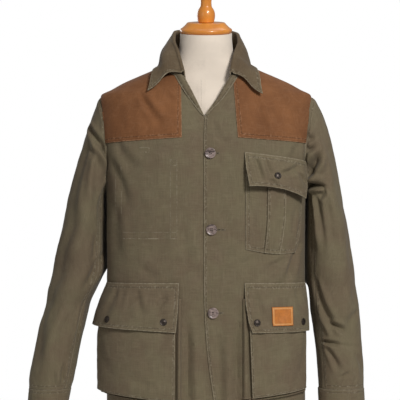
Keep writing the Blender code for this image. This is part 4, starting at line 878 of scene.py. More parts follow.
def between_points(points, count):
    """count points along a smooth curve through each row of points, evenly by length."""
    before, after = 2 * points[:, :1] - points[:, 1:2], 2 * points[:, -1:] - points[:, -2:-1]
    padded = np.concatenate([before, points, after], 1)
    share = np.linspace(0, points.shape[1] - 1, 12 * points.shape[1])
    i = np.clip(share.astype(int), 0, points.shape[1] - 2)
    t = (share - i)[None, :, None]
    a, b, c, d = (padded[:, i + k] for k in range(4))
    fine = 0.5 * (2 * b + (c - a) * t + (2 * a - 5 * b + 4 * c - d) * t**2 + (3 * b - a - 3 * c + d) * t**3)
    return np.stack([resampled(row, np.linspace(0, 1, count)) for row in fine])


def collar_surface():
    """Upper face of the whole collar. Rows run round the neck, columns from the neck seam over the roll."""
    round_ = np.linspace(0, 1, COLLAR_MIDDLE + 1)
    left = collar_half("left", round_)
    right = collar_half("right", round_) * MIRROR
    grid = np.concatenate([right[:0:-1], left])
    grid[COLLAR_MIDDLE] = (left[0] + right[0]) / 2
    points = between_points(grid, 64)
    normals = directions(points)
    if normals[COLLAR_MIDDLE, -4, 1] < 0:
        normals = -normals
    first, outer, start, end = tape_measures(points)
    ends = np.minimum(start, end)
    on_fall = ease(0.045, 0.065, first)
    lift = puckers(outer - 0.006, start, 61, 0.0003, 0.005) * on_fall
    lift += unevenness(COLLAR_LUMPS, start, first) * on_fall
    lift -= 0.0005 * (bell(outer - 0.006, 0.0016) + bell(ends - 0.006, 0.0016)) * on_fall
    lift += 0.0030 * ease(0.022, 0.000, outer) * lumps(start, 0 * start, 0.045, 0.05, 67) * on_fall
    lift = np.maximum(lift, -0.0005)
    return points + normals * lift[..., None], normals


FACING_WIDTH = {"right": 0.0200, "left": 0.0180}
FACING_TOP_Z = 0.860
FACING_FOOT_Z = 0.7600
OVER_PATCH_Z = (0.79, 0.828)  # between these heights the facing climbs onto the shoulder patch


def facing_surface(name):
    levels = np.linspace(FACING_FOOT_Z, FACING_TOP_Z, 54)[:, None]
    share = np.linspace(0, 1, 16)[None]
    rise = np.clip((levels - ROLL_TOP_Z) / (NECK_SIDE_Z - ROLL_TOP_Z), 0, 1) ** (1 / 1.6)
    start = np.where(rise > 0, front_neckline(name, rise)[0], FRONT_EDGES[name].read("edge", levels)) + 0.0004
    opened = np.clip((levels - OPENING_Z) / (ROLL_TOP_Z - OPENING_Z), 0, 1)
    width = FACING_WIDTH[name] * (1 - (1 - opened) ** 2.4)
    base = mirrored(at_width(start + width * share, levels + 0 * share), name)
    lift = (LAID_ON + FACING) * (1 + ease(*OVER_PATCH_Z, base[..., 2])) + tuck(name, base) + drape(base)
    lift = lift + 0.0030 * np.sin(math.pi * np.minimum(share * 1.2, 1)) * ease(FACING_FOOT_Z, 0.80, levels)
    lift += 0.0005 * lumps(base[..., 0], base[..., 2], 0.015, 0.02, 71)
    normals = outward(base)
    return base + normals * lift[..., None], normals


# ---------------------------------------------------------------- pockets and flaps
def between(start, end, rows, columns):
    """Tape-and-height grid between two edge lines, each listed from the bottom up."""
    edges = []
    for line in (start, end):
        points = np.array([(along, z, 0) for along, z in line], float)
        edges.append(resampled(points, np.asarray(rows))[:, :2])
    columns = np.asarray(columns)[None, :, None]
    return edges[0][:, None] * (1 - columns) + edges[1][:, None] * columns


def lifted(grid, name, lift):
    """Points of a grid on the front, moved out by lift from cloth that is draped half as much."""
    base = mirrored(at_tape(grid[..., 0], grid[..., 1]), name)
    return base + outward(base) * (np.asarray(lift) + drape(base) * 0.5)[..., None]


# Each bellows pocket's sides by tape distance, the heights of its lower corners, its depth at either side,
# and how far its gusset reaches in from the inner edge, at the foot and at the mouth.
LOWER_POCKETS = {
    "right": dict(inner=0.0535, outer=0.2560, low_inner=0.131, low_outer=0.152, depth_inner=0.0150,
                  depth_outer=0.023, gusset=(0.015, 0.014)),
    "left": dict(inner=0.0785, outer=0.2420, low_inner=0.138, low_outer=0.155, depth_inner=0.0125,
                 depth_outer=0.0075, gusset=(0.0215, 0.0125)),
}
POCKET_MOUTH_Z = 0.362
MOUTH_SHUT = 0.56  # share of the depth that is lost at the mouth
POCKET_OFF = 0.0008  # gap behind a pocket's cloth
# The bellows gusset, folded in on itself: how far from the seam, as a share of its reach, and how far out.
GUSSET = np.array([(0, 0), (0.08, 0.26), (0.18, 0.50), (0.36, 0.58), (0.58, 0.42), (0.82, 0.20), (1.08, 0.18),
                   (1.2, 0.3), (1.12, 0.5), (0.97, 0.72), (0.9, 0.9), (0.93, 0.985), (1.04, 1)])
GUSSET_REACH = 0.0088  # at the outer edge and the foot; each pocket gives its inner edge's, at foot and mouth
GUSSET_CELLS = 20
POCKET_LUMPS = [(0.0014, 0.045, 0.060, 73), (0.0005, 0.018, 0.022, 74)]


def flat_line(points, count):
    """count points evenly along a smooth curve through a list of pairs."""
    return between_points(np.pad(np.array(points, float), ((0, 0), (0, 1)))[None], count)[0, :, :2]


def lower_pocket_surface(name):
    """Outer face of a bellows pocket, from its seam round the folded gusset onto its front."""
    size = LOWER_POCKETS[name]
    width, height = size["outer"] - size["inner"], POCKET_MOUTH_Z - size["low_inner"]
    reach, rise = flat_line(GUSSET, GUSSET_CELLS + 1).T
    rise = np.clip(rise, 0, 1)
    last = GUSSET[-1, 0]
    climb = np.linspace(GUSSET_REACH * last, height, 72)[1:] / height
    rows = np.concatenate([reach * GUSSET_REACH / height, climb])
    up = np.concatenate([rise, np.ones(len(climb))])
    inner_reach = np.interp(rows, [0, 1], size["gusset"])[:, None]
    share = np.linspace(0, 1, 66)[None, 1:-1]
    flat = inner_reach * last + (width - (inner_reach + GUSSET_REACH) * last) * share
    outer = width - reach[::-1] * GUSSET_REACH
    spread_out = np.concatenate([reach * inner_reach, flat, outer + 0 * inner_reach], 1)
    columns = np.concatenate([reach * GUSSET_REACH, np.mean(flat, 0), outer]) / width
    across = np.concatenate([rise, np.ones(flat.shape[1]), rise[::-1]])
    start = [(size["inner"], size["low_inner"]), (size["inner"], POCKET_MOUTH_Z)]
    end = [(size["outer"], size["low_outer"]), (size["outer"], POCKET_MOUTH_Z)]
    ends = between(start, end, rows, [0, 1])
    grid = ends[:, :1] + (ends[:, 1:] - ends[:, :1]) * (spread_out / width)[..., None]
    depth = size["depth_inner"] + (size["depth_outer"] - size["depth_inner"]) * columns
    mouth = 1 - MOUTH_SHUT * ease(0.55, 1.0, rows)
    full = np.minimum(across[None], up[:, None])
    lift = POCKET_OFF + CANVAS + depth[None] * full * mouth[:, None]
    u, v = grid[..., 0], grid[..., 1]
    inside = ease(0.95, 1.0, full)
    edge = np.minimum(spread_out - inner_reach + GUSSET_REACH, width - spread_out)
    edge = np.minimum(edge, rows[:, None] * height)
    hang = (ease(0, 0.3, rows) * (1 - rows))[:, None]
    sag = 0.0016 * np.sin(math.pi * np.clip(columns, 0, 1))[None] * hang * 2
    soft = unevenness(POCKET_LUMPS, u, v) + creased(POCKET_CREASES[name], u, v)
    soft += puckers(edge - GUSSET_REACH - 0.002, u + v, 75, 0.00035)
    lift = lift + inside * ease(GUSSET_REACH, GUSSET_REACH + 0.012, edge) * soft + inside * sag
    lift += inside * 0.0004 * lumps(u, v, 0.012, 0.012, 76)
    return lifted(grid, name, lift)


# By tape distance from the middle and height, on the pockets' and flaps' own faces.
POCKET_CREASES = {
    "right": [
        (80, 300, 130, 220, 10, -1.6, 6), (240, 280, 200, 190, 11, -1.8, -6),
        (120, 175, 170, 200, 9, -1.2, 4), (160, 330, 175, 260, 12, -1.4, 4),
    ],
    "left": [
        (108, 300, 150, 230, 10, -1.6, 6), (235, 290, 200, 180, 11, -1.8, -6),
        (130, 175, 180, 195, 8, -1.2, 4), (180, 330, 190, 250, 12, -1.2, -4),
    ],
}
# Each flap's two side edges from the bottom up, by tape distance and height; how far its lower edge stands
# out at either side; how much its face swells; how much lower its lower edge hangs in the middle; its snaps,
# as shares across and up; and its creases.
FLAPS = {
    "lower_right": dict(
        side="right",
        start=[(0.064, 0.29), (0.0605, 0.335), (0.059, 0.396)],
        end=[(0.264, 0.301), (0.256, 0.35), (0.25, 0.394)],
        stand_off=(0.019, 0.03), belly=0.003, point=0, snaps=((0.1375, 0.2), (0.73, 0.18)),
        creases=[(90, 380, 105, 320, 8, -2.2, 2),
                 (200, 385, 220, 320, 8, -3, 4),
                 (150, 386, 132, 322, 7, -2.6, -3),
                 (82, 366, 112, 346, 5, -1.8, 2),
                 (170, 380, 180, 330, 8, 2.2, 2)],
    ),
    "lower_left": dict(
        side="left",
        start=[(0.097, 0.289), (0.09, 0.31), (0.084, 0.35), (0.0825, 0.396)],
        end=[(0.238, 0.288), (0.242, 0.34), (0.25, 0.394)],
        stand_off=(0.0165, 0.012), belly=0.003, point=0, snaps=((0.112, 0.21), (0.83, 0.2)),
        creases=[(105, 380, 118, 320, 7, -2.2, 2),
                 (205, 385, 215, 330, 8, -2.4, 3),
                 (150, 388, 140, 356, 7, -2, 2)],
    ),
    "chest": dict(
        side="left",
        start=[(0.09, 0.606), (0.0845, 0.645), (0.083, 0.679)],
        end=[(0.217, 0.58), (0.23, 0.62), (0.238, 0.6615)],
        stand_off=(0.022, 0.018), belly=0.003, point=-0.0085, snaps=((0.46, 0.38),),
        creases=[(160, 628, 215, 655, 7, -5, 3),
                 (100, 672, 118, 620, 6, -5.2, -3),
                 (128, 664, 136, 626, 5, -4, 2),
                 (112, 660, 130, 612, 5, 3, 2),
                 (190, 640, 205, 600, 7, 4, 2),
                 (205, 634, 222, 612, 5, -3.6, 0),
                 (135, 615, 150, 590, 6, -4, 0)],
    ),
}


def flap_grid(key, rows, columns):
    """Points of a flap's outer face. Rows run 0 at the lower edge to 1 at the seam."""
    flap = FLAPS[key]
    rows, columns = np.asarray(rows, float), np.asarray(columns, float)
    grid = between(flap["start"], flap["end"], rows, columns)
    hang = (1 - rows)[:, None]
    near, far = flap["stand_off"]
    stand = near + (far - near) * columns[None]
    lift = LAID_ON + DOUBLE + stand * hang**1.15 + flap["belly"] * np.sin(math.pi * hang)
    u, v = grid[..., 0], grid[..., 1]
    lift += (creased(flap["creases"], u, v) + 0.0010 * lumps(u, v, 0.030, 0.040, 81)) * ease(0, 0.25, hang)
    lift += 0.0004 * lumps(u, v, 0.014, 0.014, 83) * ease(0, 0.2, hang)
    edge = np.minimum(np.minimum(columns, 1 - columns)[None] * (u[:, -1:] - u[:, :1]), rows[:, None] * 0.10)
    lift -= 0.0003 * (bell(edge - 0.0065, 0.0016) + bell(edge - 0.0015, 0.0010))
    lift += puckers(edge - 0.004, u * 1.3 + v, 85, 0.0003, 0.005) * ease(0, 0.1, hang)
    grid[..., 1] -= flap["point"] * np.sin(math.pi * columns)[None] * hang
    return lifted(grid, flap["side"], lift)


def flap_surface(key):
    edge = 0.5 - 0.5 * np.cos(np.linspace(0, math.pi, 15))
    rows = np.concatenate([edge[:8] * 0.16, np.linspace(0.08, 1, 46)[1:]])
    columns = np.concatenate([edge[:8] * 0.10, np.linspace(0.05, 0.95, 66)[1:-1], 1 - edge[7::-1] * 0.10])
    return flap_grid(key, rows, columns)


def flap_place(key, column, row):
    """A point of the flap's outer face and the direction it faces."""
    around = np.array([-0.03, 0, 0.03])
    patch = flap_grid(key, row + around, column + around)
    return patch[1, 1], directions(patch)[1, 1]


CHEST_INNER = [(0.085, 0.4685), (0.085, 0.55), (0.0855, 0.632)]
CHEST_OUTER = [(0.208, 0.461), (0.226, 0.53), (0.228, 0.62)]
CHEST_DIP = 0.006  # how much lower the chest pocket's lower edge hangs in the middle
CHEST_FULLNESS = 0.0025
# The box pleat's folded edge as shares across the pocket, and how far out.
PLEAT_FOLD = np.array([(0.300, 0), (0.345, 0.02), (0.372, 0.16), (0.376, 0.42), (0.362, 0.66), (0.350, 0.86),
                       (0.356, 0.97), (0.385, 1)])
PLEAT_DEPTH = 0.0030
PLEAT_SHIFT = 0.022  # the pleat stands this share nearer to the front edge
PLAIN_COLUMNS = 17  # on either side of the pleat
PLEAT_COLUMN = 26  # the column along the pleat's fold, from either side
CHEST_CREASES = [
    (205, 560, 195, 500, 6, -1.4, 3), (100, 560, 112, 490, 7, -1, 2),
    (150, 590, 158, 520, 6, -0.8, 2), (218, 530, 205, 475, 5, -1.4, -2),
]


def chest_pocket_surface():
    fold = flat_line(PLEAT_FOLD, 14)
    near, far = fold[:, 0] - PLEAT_SHIFT, 1 - fold[::-1, 0] - PLEAT_SHIFT
    columns = np.concatenate([
        np.linspace(0, near[0], PLAIN_COLUMNS + 1)[:-1], near, np.linspace(near[-1], far[0], 20)[1:-1], far,
        np.linspace(far[-1], 1, PLAIN_COLUMNS + 1)[1:],
    ])
    plain = np.zeros(PLAIN_COLUMNS)
    pleat = np.concatenate([plain, fold[:, 1], np.ones(18), fold[::-1, 1], plain])
    rows = np.linspace(0, 1, 60)
    grid = between(CHEST_INNER, CHEST_OUTER, rows, columns)
    middle = np.sin(math.pi * columns)[None]
    grid[..., 1] -= CHEST_DIP * middle * (1 - rows)[:, None]
    filled = (ease(0, 0.2, rows) * (1 - 0.7 * ease(0.7, 1, rows)))[:, None]
    sewn = (0.35 + 0.65 * ease(0.0, 0.12, rows))[:, None]
    lift = POCKET_OFF + CANVAS + PLEAT_DEPTH * pleat[None] * sewn + CHEST_FULLNESS * middle * filled
    u, v = grid[..., 0], grid[..., 1]
    edge = np.minimum(np.minimum(columns, 1 - columns)[None] * 0.13, rows[:, None] * 0.16)
    lift += (creased(CHEST_CREASES, u, v) + 0.0007 * lumps(u, v, 0.020, 0.045, 87)) * ease(0, 0.010, edge)
    lift += puckers(edge - 0.004, u + v, 89, 0.0003, 0.005) - 0.0003 * bell(edge - 0.0062, 0.0015)
    return lifted(grid, "left", lift)


LABEL_COLUMNS = (0.33, 0.64)
LABEL_ROWS = (0.135, 0.52)
LABEL_SLANT = 0.040  # share of its height that the leather leans sideways


def label_surface():
    columns = np.linspace(*LABEL_COLUMNS, 40)
    points = []
    for row in np.linspace(*LABEL_ROWS, 34):
        slant = (row - np.mean(LABEL_ROWS)) * LABEL_SLANT
        points.append(flap_grid("lower_left", [row], columns + slant))
    points = np.concatenate(points)
    normals = directions(points)
    left, right, lower, upper = tape_measures(points)
    edge = np.minimum(np.minimum(left, right), np.minimum(lower, upper))
    lift = LAID_ON + LEATHER + 0.0002 * ease(0, 0.002, edge) - 0.0003 * bell(edge - 0.0028, 0.0007)
    return points + normals * lift[..., None]


# ---------------------------------------------------------------- making pieces
def jacket_sizes():
    return bpy.context.scene.jacket_sizes


def jacket_colours():
    return bpy.context.scene.jacket_colours


def deselect_all():
    for piece in bpy.context.view_layer.objects:
        piece.select_set(False)


def apply_modifier(piece, kind, **settings):
    bpy.context.view_layer.objects.active = piece
    piece.select_set(True)
    modifier = piece.modifiers.new(kind.title(), kind)
    for name, value in settings.items():
        setattr(modifier, name, value)
    bpy.ops.object.modifier_apply(modifier=modifier.name)


def shade(piece, degrees=50):
    deselect_all()
    piece.select_set(True)
    bpy.context.view_layer.objects.active = piece
    bpy.ops.object.shade_smooth_by_angle(angle=math.radians(degrees))


def belongs(piece, slot, *nodes):
    """The piece rides with the jacket's one body and stands for those solids."""
    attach(piece, "root")
    if nodes:
        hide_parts(*nodes)


def give_finish(piece, finish):
    piece.data.materials.clear()
    piece.data.materials.append(finish)


def grid_piece(name, points):
    """A sheet whose points are a grid's, with the cloth's own measures in metres as its UV map."""
    rows, columns = points.shape[:2]
    deselect_all()
    bpy.ops.mesh.primitive_grid_add(x_subdivisions=columns - 1, y_subdivisions=rows - 1, size=1)
    piece = bpy.context.object
    piece.name = piece.data.name = name
    mesh = piece.data
    mesh.vertices.foreach_set("co", points.reshape(-1))
    left, _, lower, _ = tape_measures(points)
    flat = np.stack([left, lower], -1).reshape(-1, 2)
    corners = np.empty(len(mesh.loops), int)
    mesh.loops.foreach_get("vertex_index", corners)
    mesh.uv_layers[0].name = "cut"
    mesh.uv_layers[0].data.foreach_set("uv", flat[corners].reshape(-1))
    return piece


def cloth(name, points, thickness, finish, edge, row, outwards=None, closed=False):
    """A thin shell whose outer face lies on a grid of points. edge is each point's distance from a rubbed
    edge, and row the distance of that edge's stitching. closed joins the grid's ends into a ring."""
    piece = grid_piece(name, points)
    mesh = piece.data
    for label, values in (("edge", edge), ("row", row)):
        values = np.broadcast_to(values, points.shape[:2]).reshape(-1).astype(np.float32)
        mesh.attributes.new(label, "FLOAT", "POINT").data.foreach_set("value", values)
    if closed:
        bpy.ops.object.mode_set(mode="EDIT")
        bpy.ops.mesh.select_all(action="SELECT")
        bpy.ops.mesh.remove_doubles(threshold=1e-6)
        bpy.ops.object.mode_set(mode="OBJECT")
    facing = np.empty(len(mesh.vertices) * 3)
    mesh.vertex_normals.foreach_get("vector", facing)
    place = np.empty(len(mesh.vertices) * 3)
    mesh.vertices.foreach_get("co", place)
    if outwards is None:
        outwards = place.reshape(-1, 3) * LEVEL
    if np.sum(facing.reshape(-1, 3) * outwards) < 0:
        mesh.flip_normals()
    apply_modifier(piece, "SOLIDIFY", thickness=thickness, offset=-1, use_even_offset=False, use_rim=True)
    apply_modifier(piece, "BEVEL", width=thickness * 0.34, segments=2, limit_method="ANGLE",
                   angle_limit=math.radians(62), use_clamp_overlap=True)
    give_finish(piece, finish)
    shade(piece)
    return piece


def from_edge(points, left, right, lower, upper):
    """Distance of a panel's points from its nearest rubbed edge. Each edge's share says how rubbed it is."""
    nearest = np.ones(points.shape[:2])
    for distance, share in zip(tape_measures(points), (left, right, lower, upper)):
        if share:
            nearest = np.minimum(nearest, distance + (1 - share) * 0.0016)
    return nearest


def edge_row(points, edge, inset, trim_start, trim_end):
    """Points along a grid at a steady distance from one of its edges: left, right, lower or upper."""
    if edge in ("lower", "upper"):
        points = points.transpose(1, 0, 2)
    if edge in ("right", "upper"):
        points = points[:, ::-1]
    walked = np.pad(np.cumsum(np.linalg.norm(np.diff(points, axis=1), axis=-1), axis=1), ((0, 0), (1, 0)))
    inset = np.broadcast_to(inset, len(points))
    row = np.stack([read_along(inset[i], walked[i], points[i]) for i in range(len(points))])
    along = distance_along(row)
    return read_along(np.arange(trim_start, along[-1] - trim_end, 0.0015), along, row)


STITCH_PITCH = 1.36  # from one stitch to the next, as a share of its length
STITCH_SHAPE = []


def stitch_shape():
    """Corners and faces of one stitch, a small bead drawn out along X."""
    if not STITCH_SHAPE:
        deselect_all()
        bpy.ops.mesh.primitive_ico_sphere_add(subdivisions=1, radius=1)
        bead = bpy.context.object
        corners = np.array([corner.co for corner in bead.data.vertices])
        STITCH_SHAPE.extend([corners, np.array([face.vertices[:] for face in bead.data.polygons])])
        bpy.data.objects.remove(bead)
    return STITCH_SHAPE


def stitches(name, rows, finish, length=None, proud=0.00012, width=None):
    """Stitches along rows of (points, directions), joined into one piece."""
    sizes = jacket_sizes()
    length = length or sizes.stitch_length
    width = width or sizes.thread
    corners, faces = stitch_shape()
    placed, joined = [], []
    for points, normals in rows:
        if len(points) < 3:
            continue
        along = distance_along(points)
        pitch = length * STITCH_PITCH
        at = np.arange(pitch / 2, along[-1], pitch)
        if not len(at):
            continue
        centre = read_along(at, along, points)
        up = read_along(at, along, normals)
        run = read_along(at + 1e-4, along, points) - read_along(at - 1e-4, along, points)
        run /= np.linalg.norm(run, axis=-1, keepdims=True)
        up -= run * np.sum(up * run, -1, keepdims=True)
        up /= np.linalg.norm(up, axis=-1, keepdims=True)
        side = np.cross(up, run)
        for i in range(len(at)):
            shape = (corners[:, :1] * run[i] * length / 2 + corners[:, 1:2] * side[i] * width / 2
                     + corners[:, 2:] * up[i] * width * 0.42)
            joined.append(faces + len(corners) * len(placed))
            placed.append(centre[i] + up[i] * proud + shape)
    mesh = bpy.data.meshes.new(name)
    mesh.from_pydata(np.concatenate(placed).tolist(), [], np.concatenate(joined).tolist())
    piece = bpy.data.objects.new(name, mesh)
    bpy.context.scene.collection.objects.link(piece)
    give_finish(piece, finish)
    shade(piece, 80)
    return piece


def row_on(points, normals, edge, inset, trim_start=0.0, trim_end=0.0):
    """A row of stitches' points and directions along a grid's edge."""
    row = edge_row(points, edge, inset, trim_start, trim_end)
    flat, facing = points.reshape(-1, 3), normals.reshape(-1, 3)
    nearest = np.array([np.argmin(((flat - point) ** 2).sum(-1)) for point in row[::4]], int)
    kept = facing[nearest]
    return row, read_along(np.linspace(0, len(kept) - 1, len(row)), np.arange(len(kept)), kept)


def rows_on(points, normals, *rows):
    """Rows of stitches along a grid's edges, each given as its edge, its inset and its trims at the ends."""
    return [row_on(points, normals, *row) for row in rows]


def sewn(name, rows, thread="olive thread", slot="olive_canvas", **sizes):
    """Makes stitches that ride with the cloth they are sewn through."""
    belongs(stitches(name, rows, finish(thread), **sizes), slot)


def on_front(name, line, above, count=80):
    """Points and directions of a line on a front, given by distance from the middle plane and height."""
    line = np.array([(x, z, 0) for x, z in line], float)
    at = resampled(line, np.linspace(0, 1, count))
    base = at_width(at[:, 0], at[:, 1])
    normals = outward(base)
    return base + normals * (tuck(name, base) + drape(base) + above)[:, None], normals


# ---------------------------------------------------------------- finishes
def feed(tree, socket, value):
    """Links another node's output to a socket, or sets the socket to a plain value."""
    if isinstance(value, bpy.types.NodeSocket):
        tree.links.new(value, socket)
    else:
        socket.default_value = value


def put(tree, kind, settings=None, inputs=None):
    """Adds a node, sets its properties, and feeds its inputs."""
    made = tree.nodes.new(kind)
    for key, value in (settings or {}).items():
        setattr(made, key, value)
    for key, value in (inputs or {}).items():
        feed(tree, made.inputs[key], value)
    return made


def maths(tree, operation, *values):
    made = put(tree, "ShaderNodeMath", {"operation": operation})
    for socket, value in zip(made.inputs, values):
        feed(tree, socket, value)
    return made.outputs[0]


def times(tree, *values):
    return maths(tree, "MULTIPLY", *values)


def plus(tree, *values):
    return maths(tree, "ADD", *values)


def minus(tree, *values):
    return maths(tree, "SUBTRACT", *values)


def scaled(tree, vector, scale):
    return put(tree, "ShaderNodeVectorMath", {"operation": "MULTIPLY"}, {0: vector, 1: scale}).outputs[0]


def noise(tree, vector, scale, detail, roughness=0.5, distortion=0.0):
    return put(tree, "ShaderNodeTexNoise", None, {
        "Vector": vector, "Scale": scale, "Detail": detail, "Roughness": roughness, "Distortion": distortion,
    }).outputs["Fac"]


def spread(tree, value, low, high, to_low=0.0, to_high=1.0):
    inputs = {"Value": value, "From Min": low, "From Max": high, "To Min": to_low, "To Max": to_high}
    return put(tree, "ShaderNodeMapRange", {"interpolation_type": "SMOOTHSTEP"}, inputs).outputs["Result"]


def blended(tree, share, first, second, kind="MIX"):
    made = put(tree, "ShaderNodeMix", {"data_type": "RGBA", "blend_type": kind})
    feed(tree, made.inputs[0], share)
    for key, value in ((6, first), (7, second)):
        feed(tree, made.inputs[key], value if isinstance(value, bpy.types.NodeSocket) else (*value[:3], 1.0))
    return made.outputs[2]


def effect_group(name, inputs, outputs):
    """An empty node group with named inputs, each with its default, and named outputs."""
    if name in bpy.data.node_groups:
        bpy.data.node_groups.remove(bpy.data.node_groups[name])
    group = bpy.data.node_groups.new(name, "ShaderNodeTree")
    for label, default in inputs:
        vector = label in ("Vector", "Cut")
        kind = "NodeSocketVector" if vector else "NodeSocketFloat"
        socket = group.interface.new_socket(label, in_out="INPUT", socket_type=kind)
        if not vector:
            socket.default_value = default
    for label in outputs:
        group.interface.new_socket(label, in_out="OUTPUT", socket_type="NodeSocketFloat")
    return group, put(group, "NodeGroupInput"), put(group, "NodeGroupOutput")


def woven_group():
    """Plain weave: the height of its threads, uneven thread thickness, and soft cloudy fading."""
    group, given, result = effect_group(
        "Plain weave", [("Cut", None), ("Vector", None), ("Threads", 1400.0), ("Slub", 1.0)],
        ["Height", "Streaks", "Cloud"],
    )
    cut = put(group, "ShaderNodeSeparateXYZ", None, {0: given.outputs["Cut"]})
    waves = [
        maths(group, "SINE", times(group, cut.outputs[axis],
                                   times(group, given.outputs["Threads"], math.pi)))
        for axis in (0, 1)
    ]
    over = times(group, *waves)
    weft = noise(group, scaled(group, given.outputs["Cut"], (28, 900, 1)), 1.0, 1.5)
    warp = noise(group, scaled(group, given.outputs["Cut"], (900, 24, 1)), 1.0, 1.5)
    slubs = minus(group, plus(group, weft, warp), 1.0)
    slubs = times(group, slubs, given.outputs["Slub"])
    height = plus(group, times(group, over, 0.22), times(group, slubs, 1.0))
    cloud = noise(group, given.outputs["Vector"], 12.0, 5.0, 0.62)
    group.links.new(height, result.inputs["Height"])
    group.links.new(slubs, result.inputs["Streaks"])
    group.links.new(cloud, result.inputs["Cloud"])
    return group


def crumple_group():
    """The small dents and rubbed lines of washed, handled cloth."""
    group, given, result = effect_group("Crumple", [("Vector", None), ("Size", 90.0)], ["Height", "Rubbed"])
    small = noise(group, given.outputs["Vector"], given.outputs["Size"], 3.0, 0.55, 0.6)
    large = noise(group, given.outputs["Vector"], 34.0, 2.0, 0.5, 0.8)
    ridged = maths(group, "ABSOLUTE", minus(group, large, 0.5))
    lines = spread(group, ridged, 0.0, 0.055, 1.0, 0.0)
    height = plus(group, times(group, small, 0.55), times(group, lines, -0.25))
    group.links.new(height, result.inputs["Height"])
    group.links.new(times(group, lines, small), result.inputs["Rubbed"])
    return group


def wear_and_seam_shade_group():
    """Rubbed edges, pale puckers beside an edge's stitching, and that stitching's sunk line, which the canvas
    darkens: painted shade in its groove, and partly unfaded cloth.
    """
    group, given, result = effect_group(
        "Worn edges", [("Vector", None), ("Edge", 1.0), ("Row", 0.0065), ("Amount", 1.0)], ["Worn", "Sunk"])
    edge, place = given.outputs["Edge"], given.outputs["Vector"]
    off_row = maths(group, "ABSOLUTE", minus(group, edge, given.outputs["Row"]))
    patchy = spread(group, noise(group, place, 170.0, 3.0, 0.6), 0.36, 0.62, 0.25, 1.0)
    rim = times(group, spread(group, edge, 0.0004, 0.0024, 1.0, 0.0), patchy)
    pucker = spread(group, noise(group, place, 210.0, 2.0, 0.55), 0.50, 0.62, 0.0, 0.55)
    beside = times(group, spread(group, off_row, 0.0006, 0.0042, 1.0, 0.0), pucker)
    worn = times(group, maths(group, "MAXIMUM", rim, beside), given.outputs["Amount"])
    group.links.new(worn, result.inputs["Worn"])
    # Mask of the sunk stitching line, for its groove and for its painted shade.
    group.links.new(spread(group, off_row, 0.0003, 0.0014, 1.0, 0.0), result.inputs["Sunk"])
    return group


def sewn_through_group():
    """Pale dashes of rubbed cloth over the seams of the pocket inside the right front, which lies at -X."""
    group, given, result = effect_group("Sewn through", [("Vector", None)], ["Rubbed"])
    split = put(group, "ShaderNodeSeparateXYZ", None, {0: given.outputs["Vector"]})
    across, up = times(group, split.outputs[0], -1.0), split.outputs[2]
    total = None
    for axis, at, low, high, strength in INSIDE_SEAMS:
        line, run = (across, up) if axis == "x" else (up, across)
        near = spread(group, maths(group, "ABSOLUTE", minus(group, line, at)), 0.0005, 0.0017, strength, 0.0)
        within = times(group, spread(group, run, low - 0.002, low + 0.002),
                       spread(group, run, high - 0.002, high + 0.002, 1.0, 0.0))
        part = times(group, near, within)
        total = part if total is None else maths(group, "MAXIMUM", total, part)
    dashes = spread(group, noise(group, given.outputs["Vector"], 105.0, 3.0, 0.6), 0.44, 0.56)
    group.links.new(times(group, total, dashes), result.inputs["Rubbed"])
    return group


def grain_group():
    """Growth rings and pores of turned wood, running up Z."""
    group, given, result = effect_group("Wood grain", [("Vector", None), ("Ring", 90.0)], ["Rings", "Pores"])
    drawn = scaled(group, given.outputs["Vector"], (1.0, 1.0, 0.16))
    swirl = noise(group, drawn, 16.0, 3.0, 0.55, 1.2)
    rings = put(group, "ShaderNodeTexWave", {"wave_type": "RINGS", "rings_direction": "X"}, {
        "Vector": drawn, "Scale": given.outputs["Ring"],
        "Distortion": 5.0, "Detail": 3.0, "Detail Scale": 1.4,
    }).outputs["Fac"]
    pores = noise(group, scaled(group, given.outputs["Vector"], (900, 900, 42)), 1.0, 2.0)
    mixed = plus(group, times(group, rings, 0.22), times(group, swirl, 0.70))
    group.links.new(mixed, result.inputs["Rings"])
    group.links.new(pores, result.inputs["Pores"])
    return group


def new_finish(name, roughness, **sockets):
    """A material, its tree, its Principled shader, and its coordinates."""
    made = bpy.data.materials.get(name)
    if made:
        bpy.data.materials.remove(made)
    made = bpy.data.materials.new(name)
    made.use_nodes = True
    tree = made.node_tree
    shader = tree.nodes["Principled BSDF"]
    shader.inputs["Roughness"].default_value = roughness
    for label, value in sockets.items():
        shader.inputs[label.replace("_", " ")].default_value = value
    place = put(tree, "ShaderNodeTexCoord").outputs["Object"]
    return made, tree, shader, place


def bumped(tree, shader, height, distance, strength):
    bump = put(tree, "ShaderNodeBump", None, {"Height": height, "Distance": distance, "Strength": strength})
    tree.links.new(bump.outputs["Normal"], shader.inputs["Normal"])


def placed_group(tree, group, **inputs):
    made = put(tree, "ShaderNodeGroup", {"node_tree": bpy.data.node_groups[group]})
    for label, value in inputs.items():
        feed(tree, made.inputs[label], value)
    return made.outputs


def edge_and_row(tree):
    """The distance from a rubbed edge, and the distance of that edge's stitching."""
    edge, row = (put(tree, "ShaderNodeAttribute", {"attribute_name": label}) for label in ("edge", "row"))
    return edge.outputs["Fac"], row.outputs["Fac"]


def dimmed(colour, share):
    return tuple(share * value for value in colour)


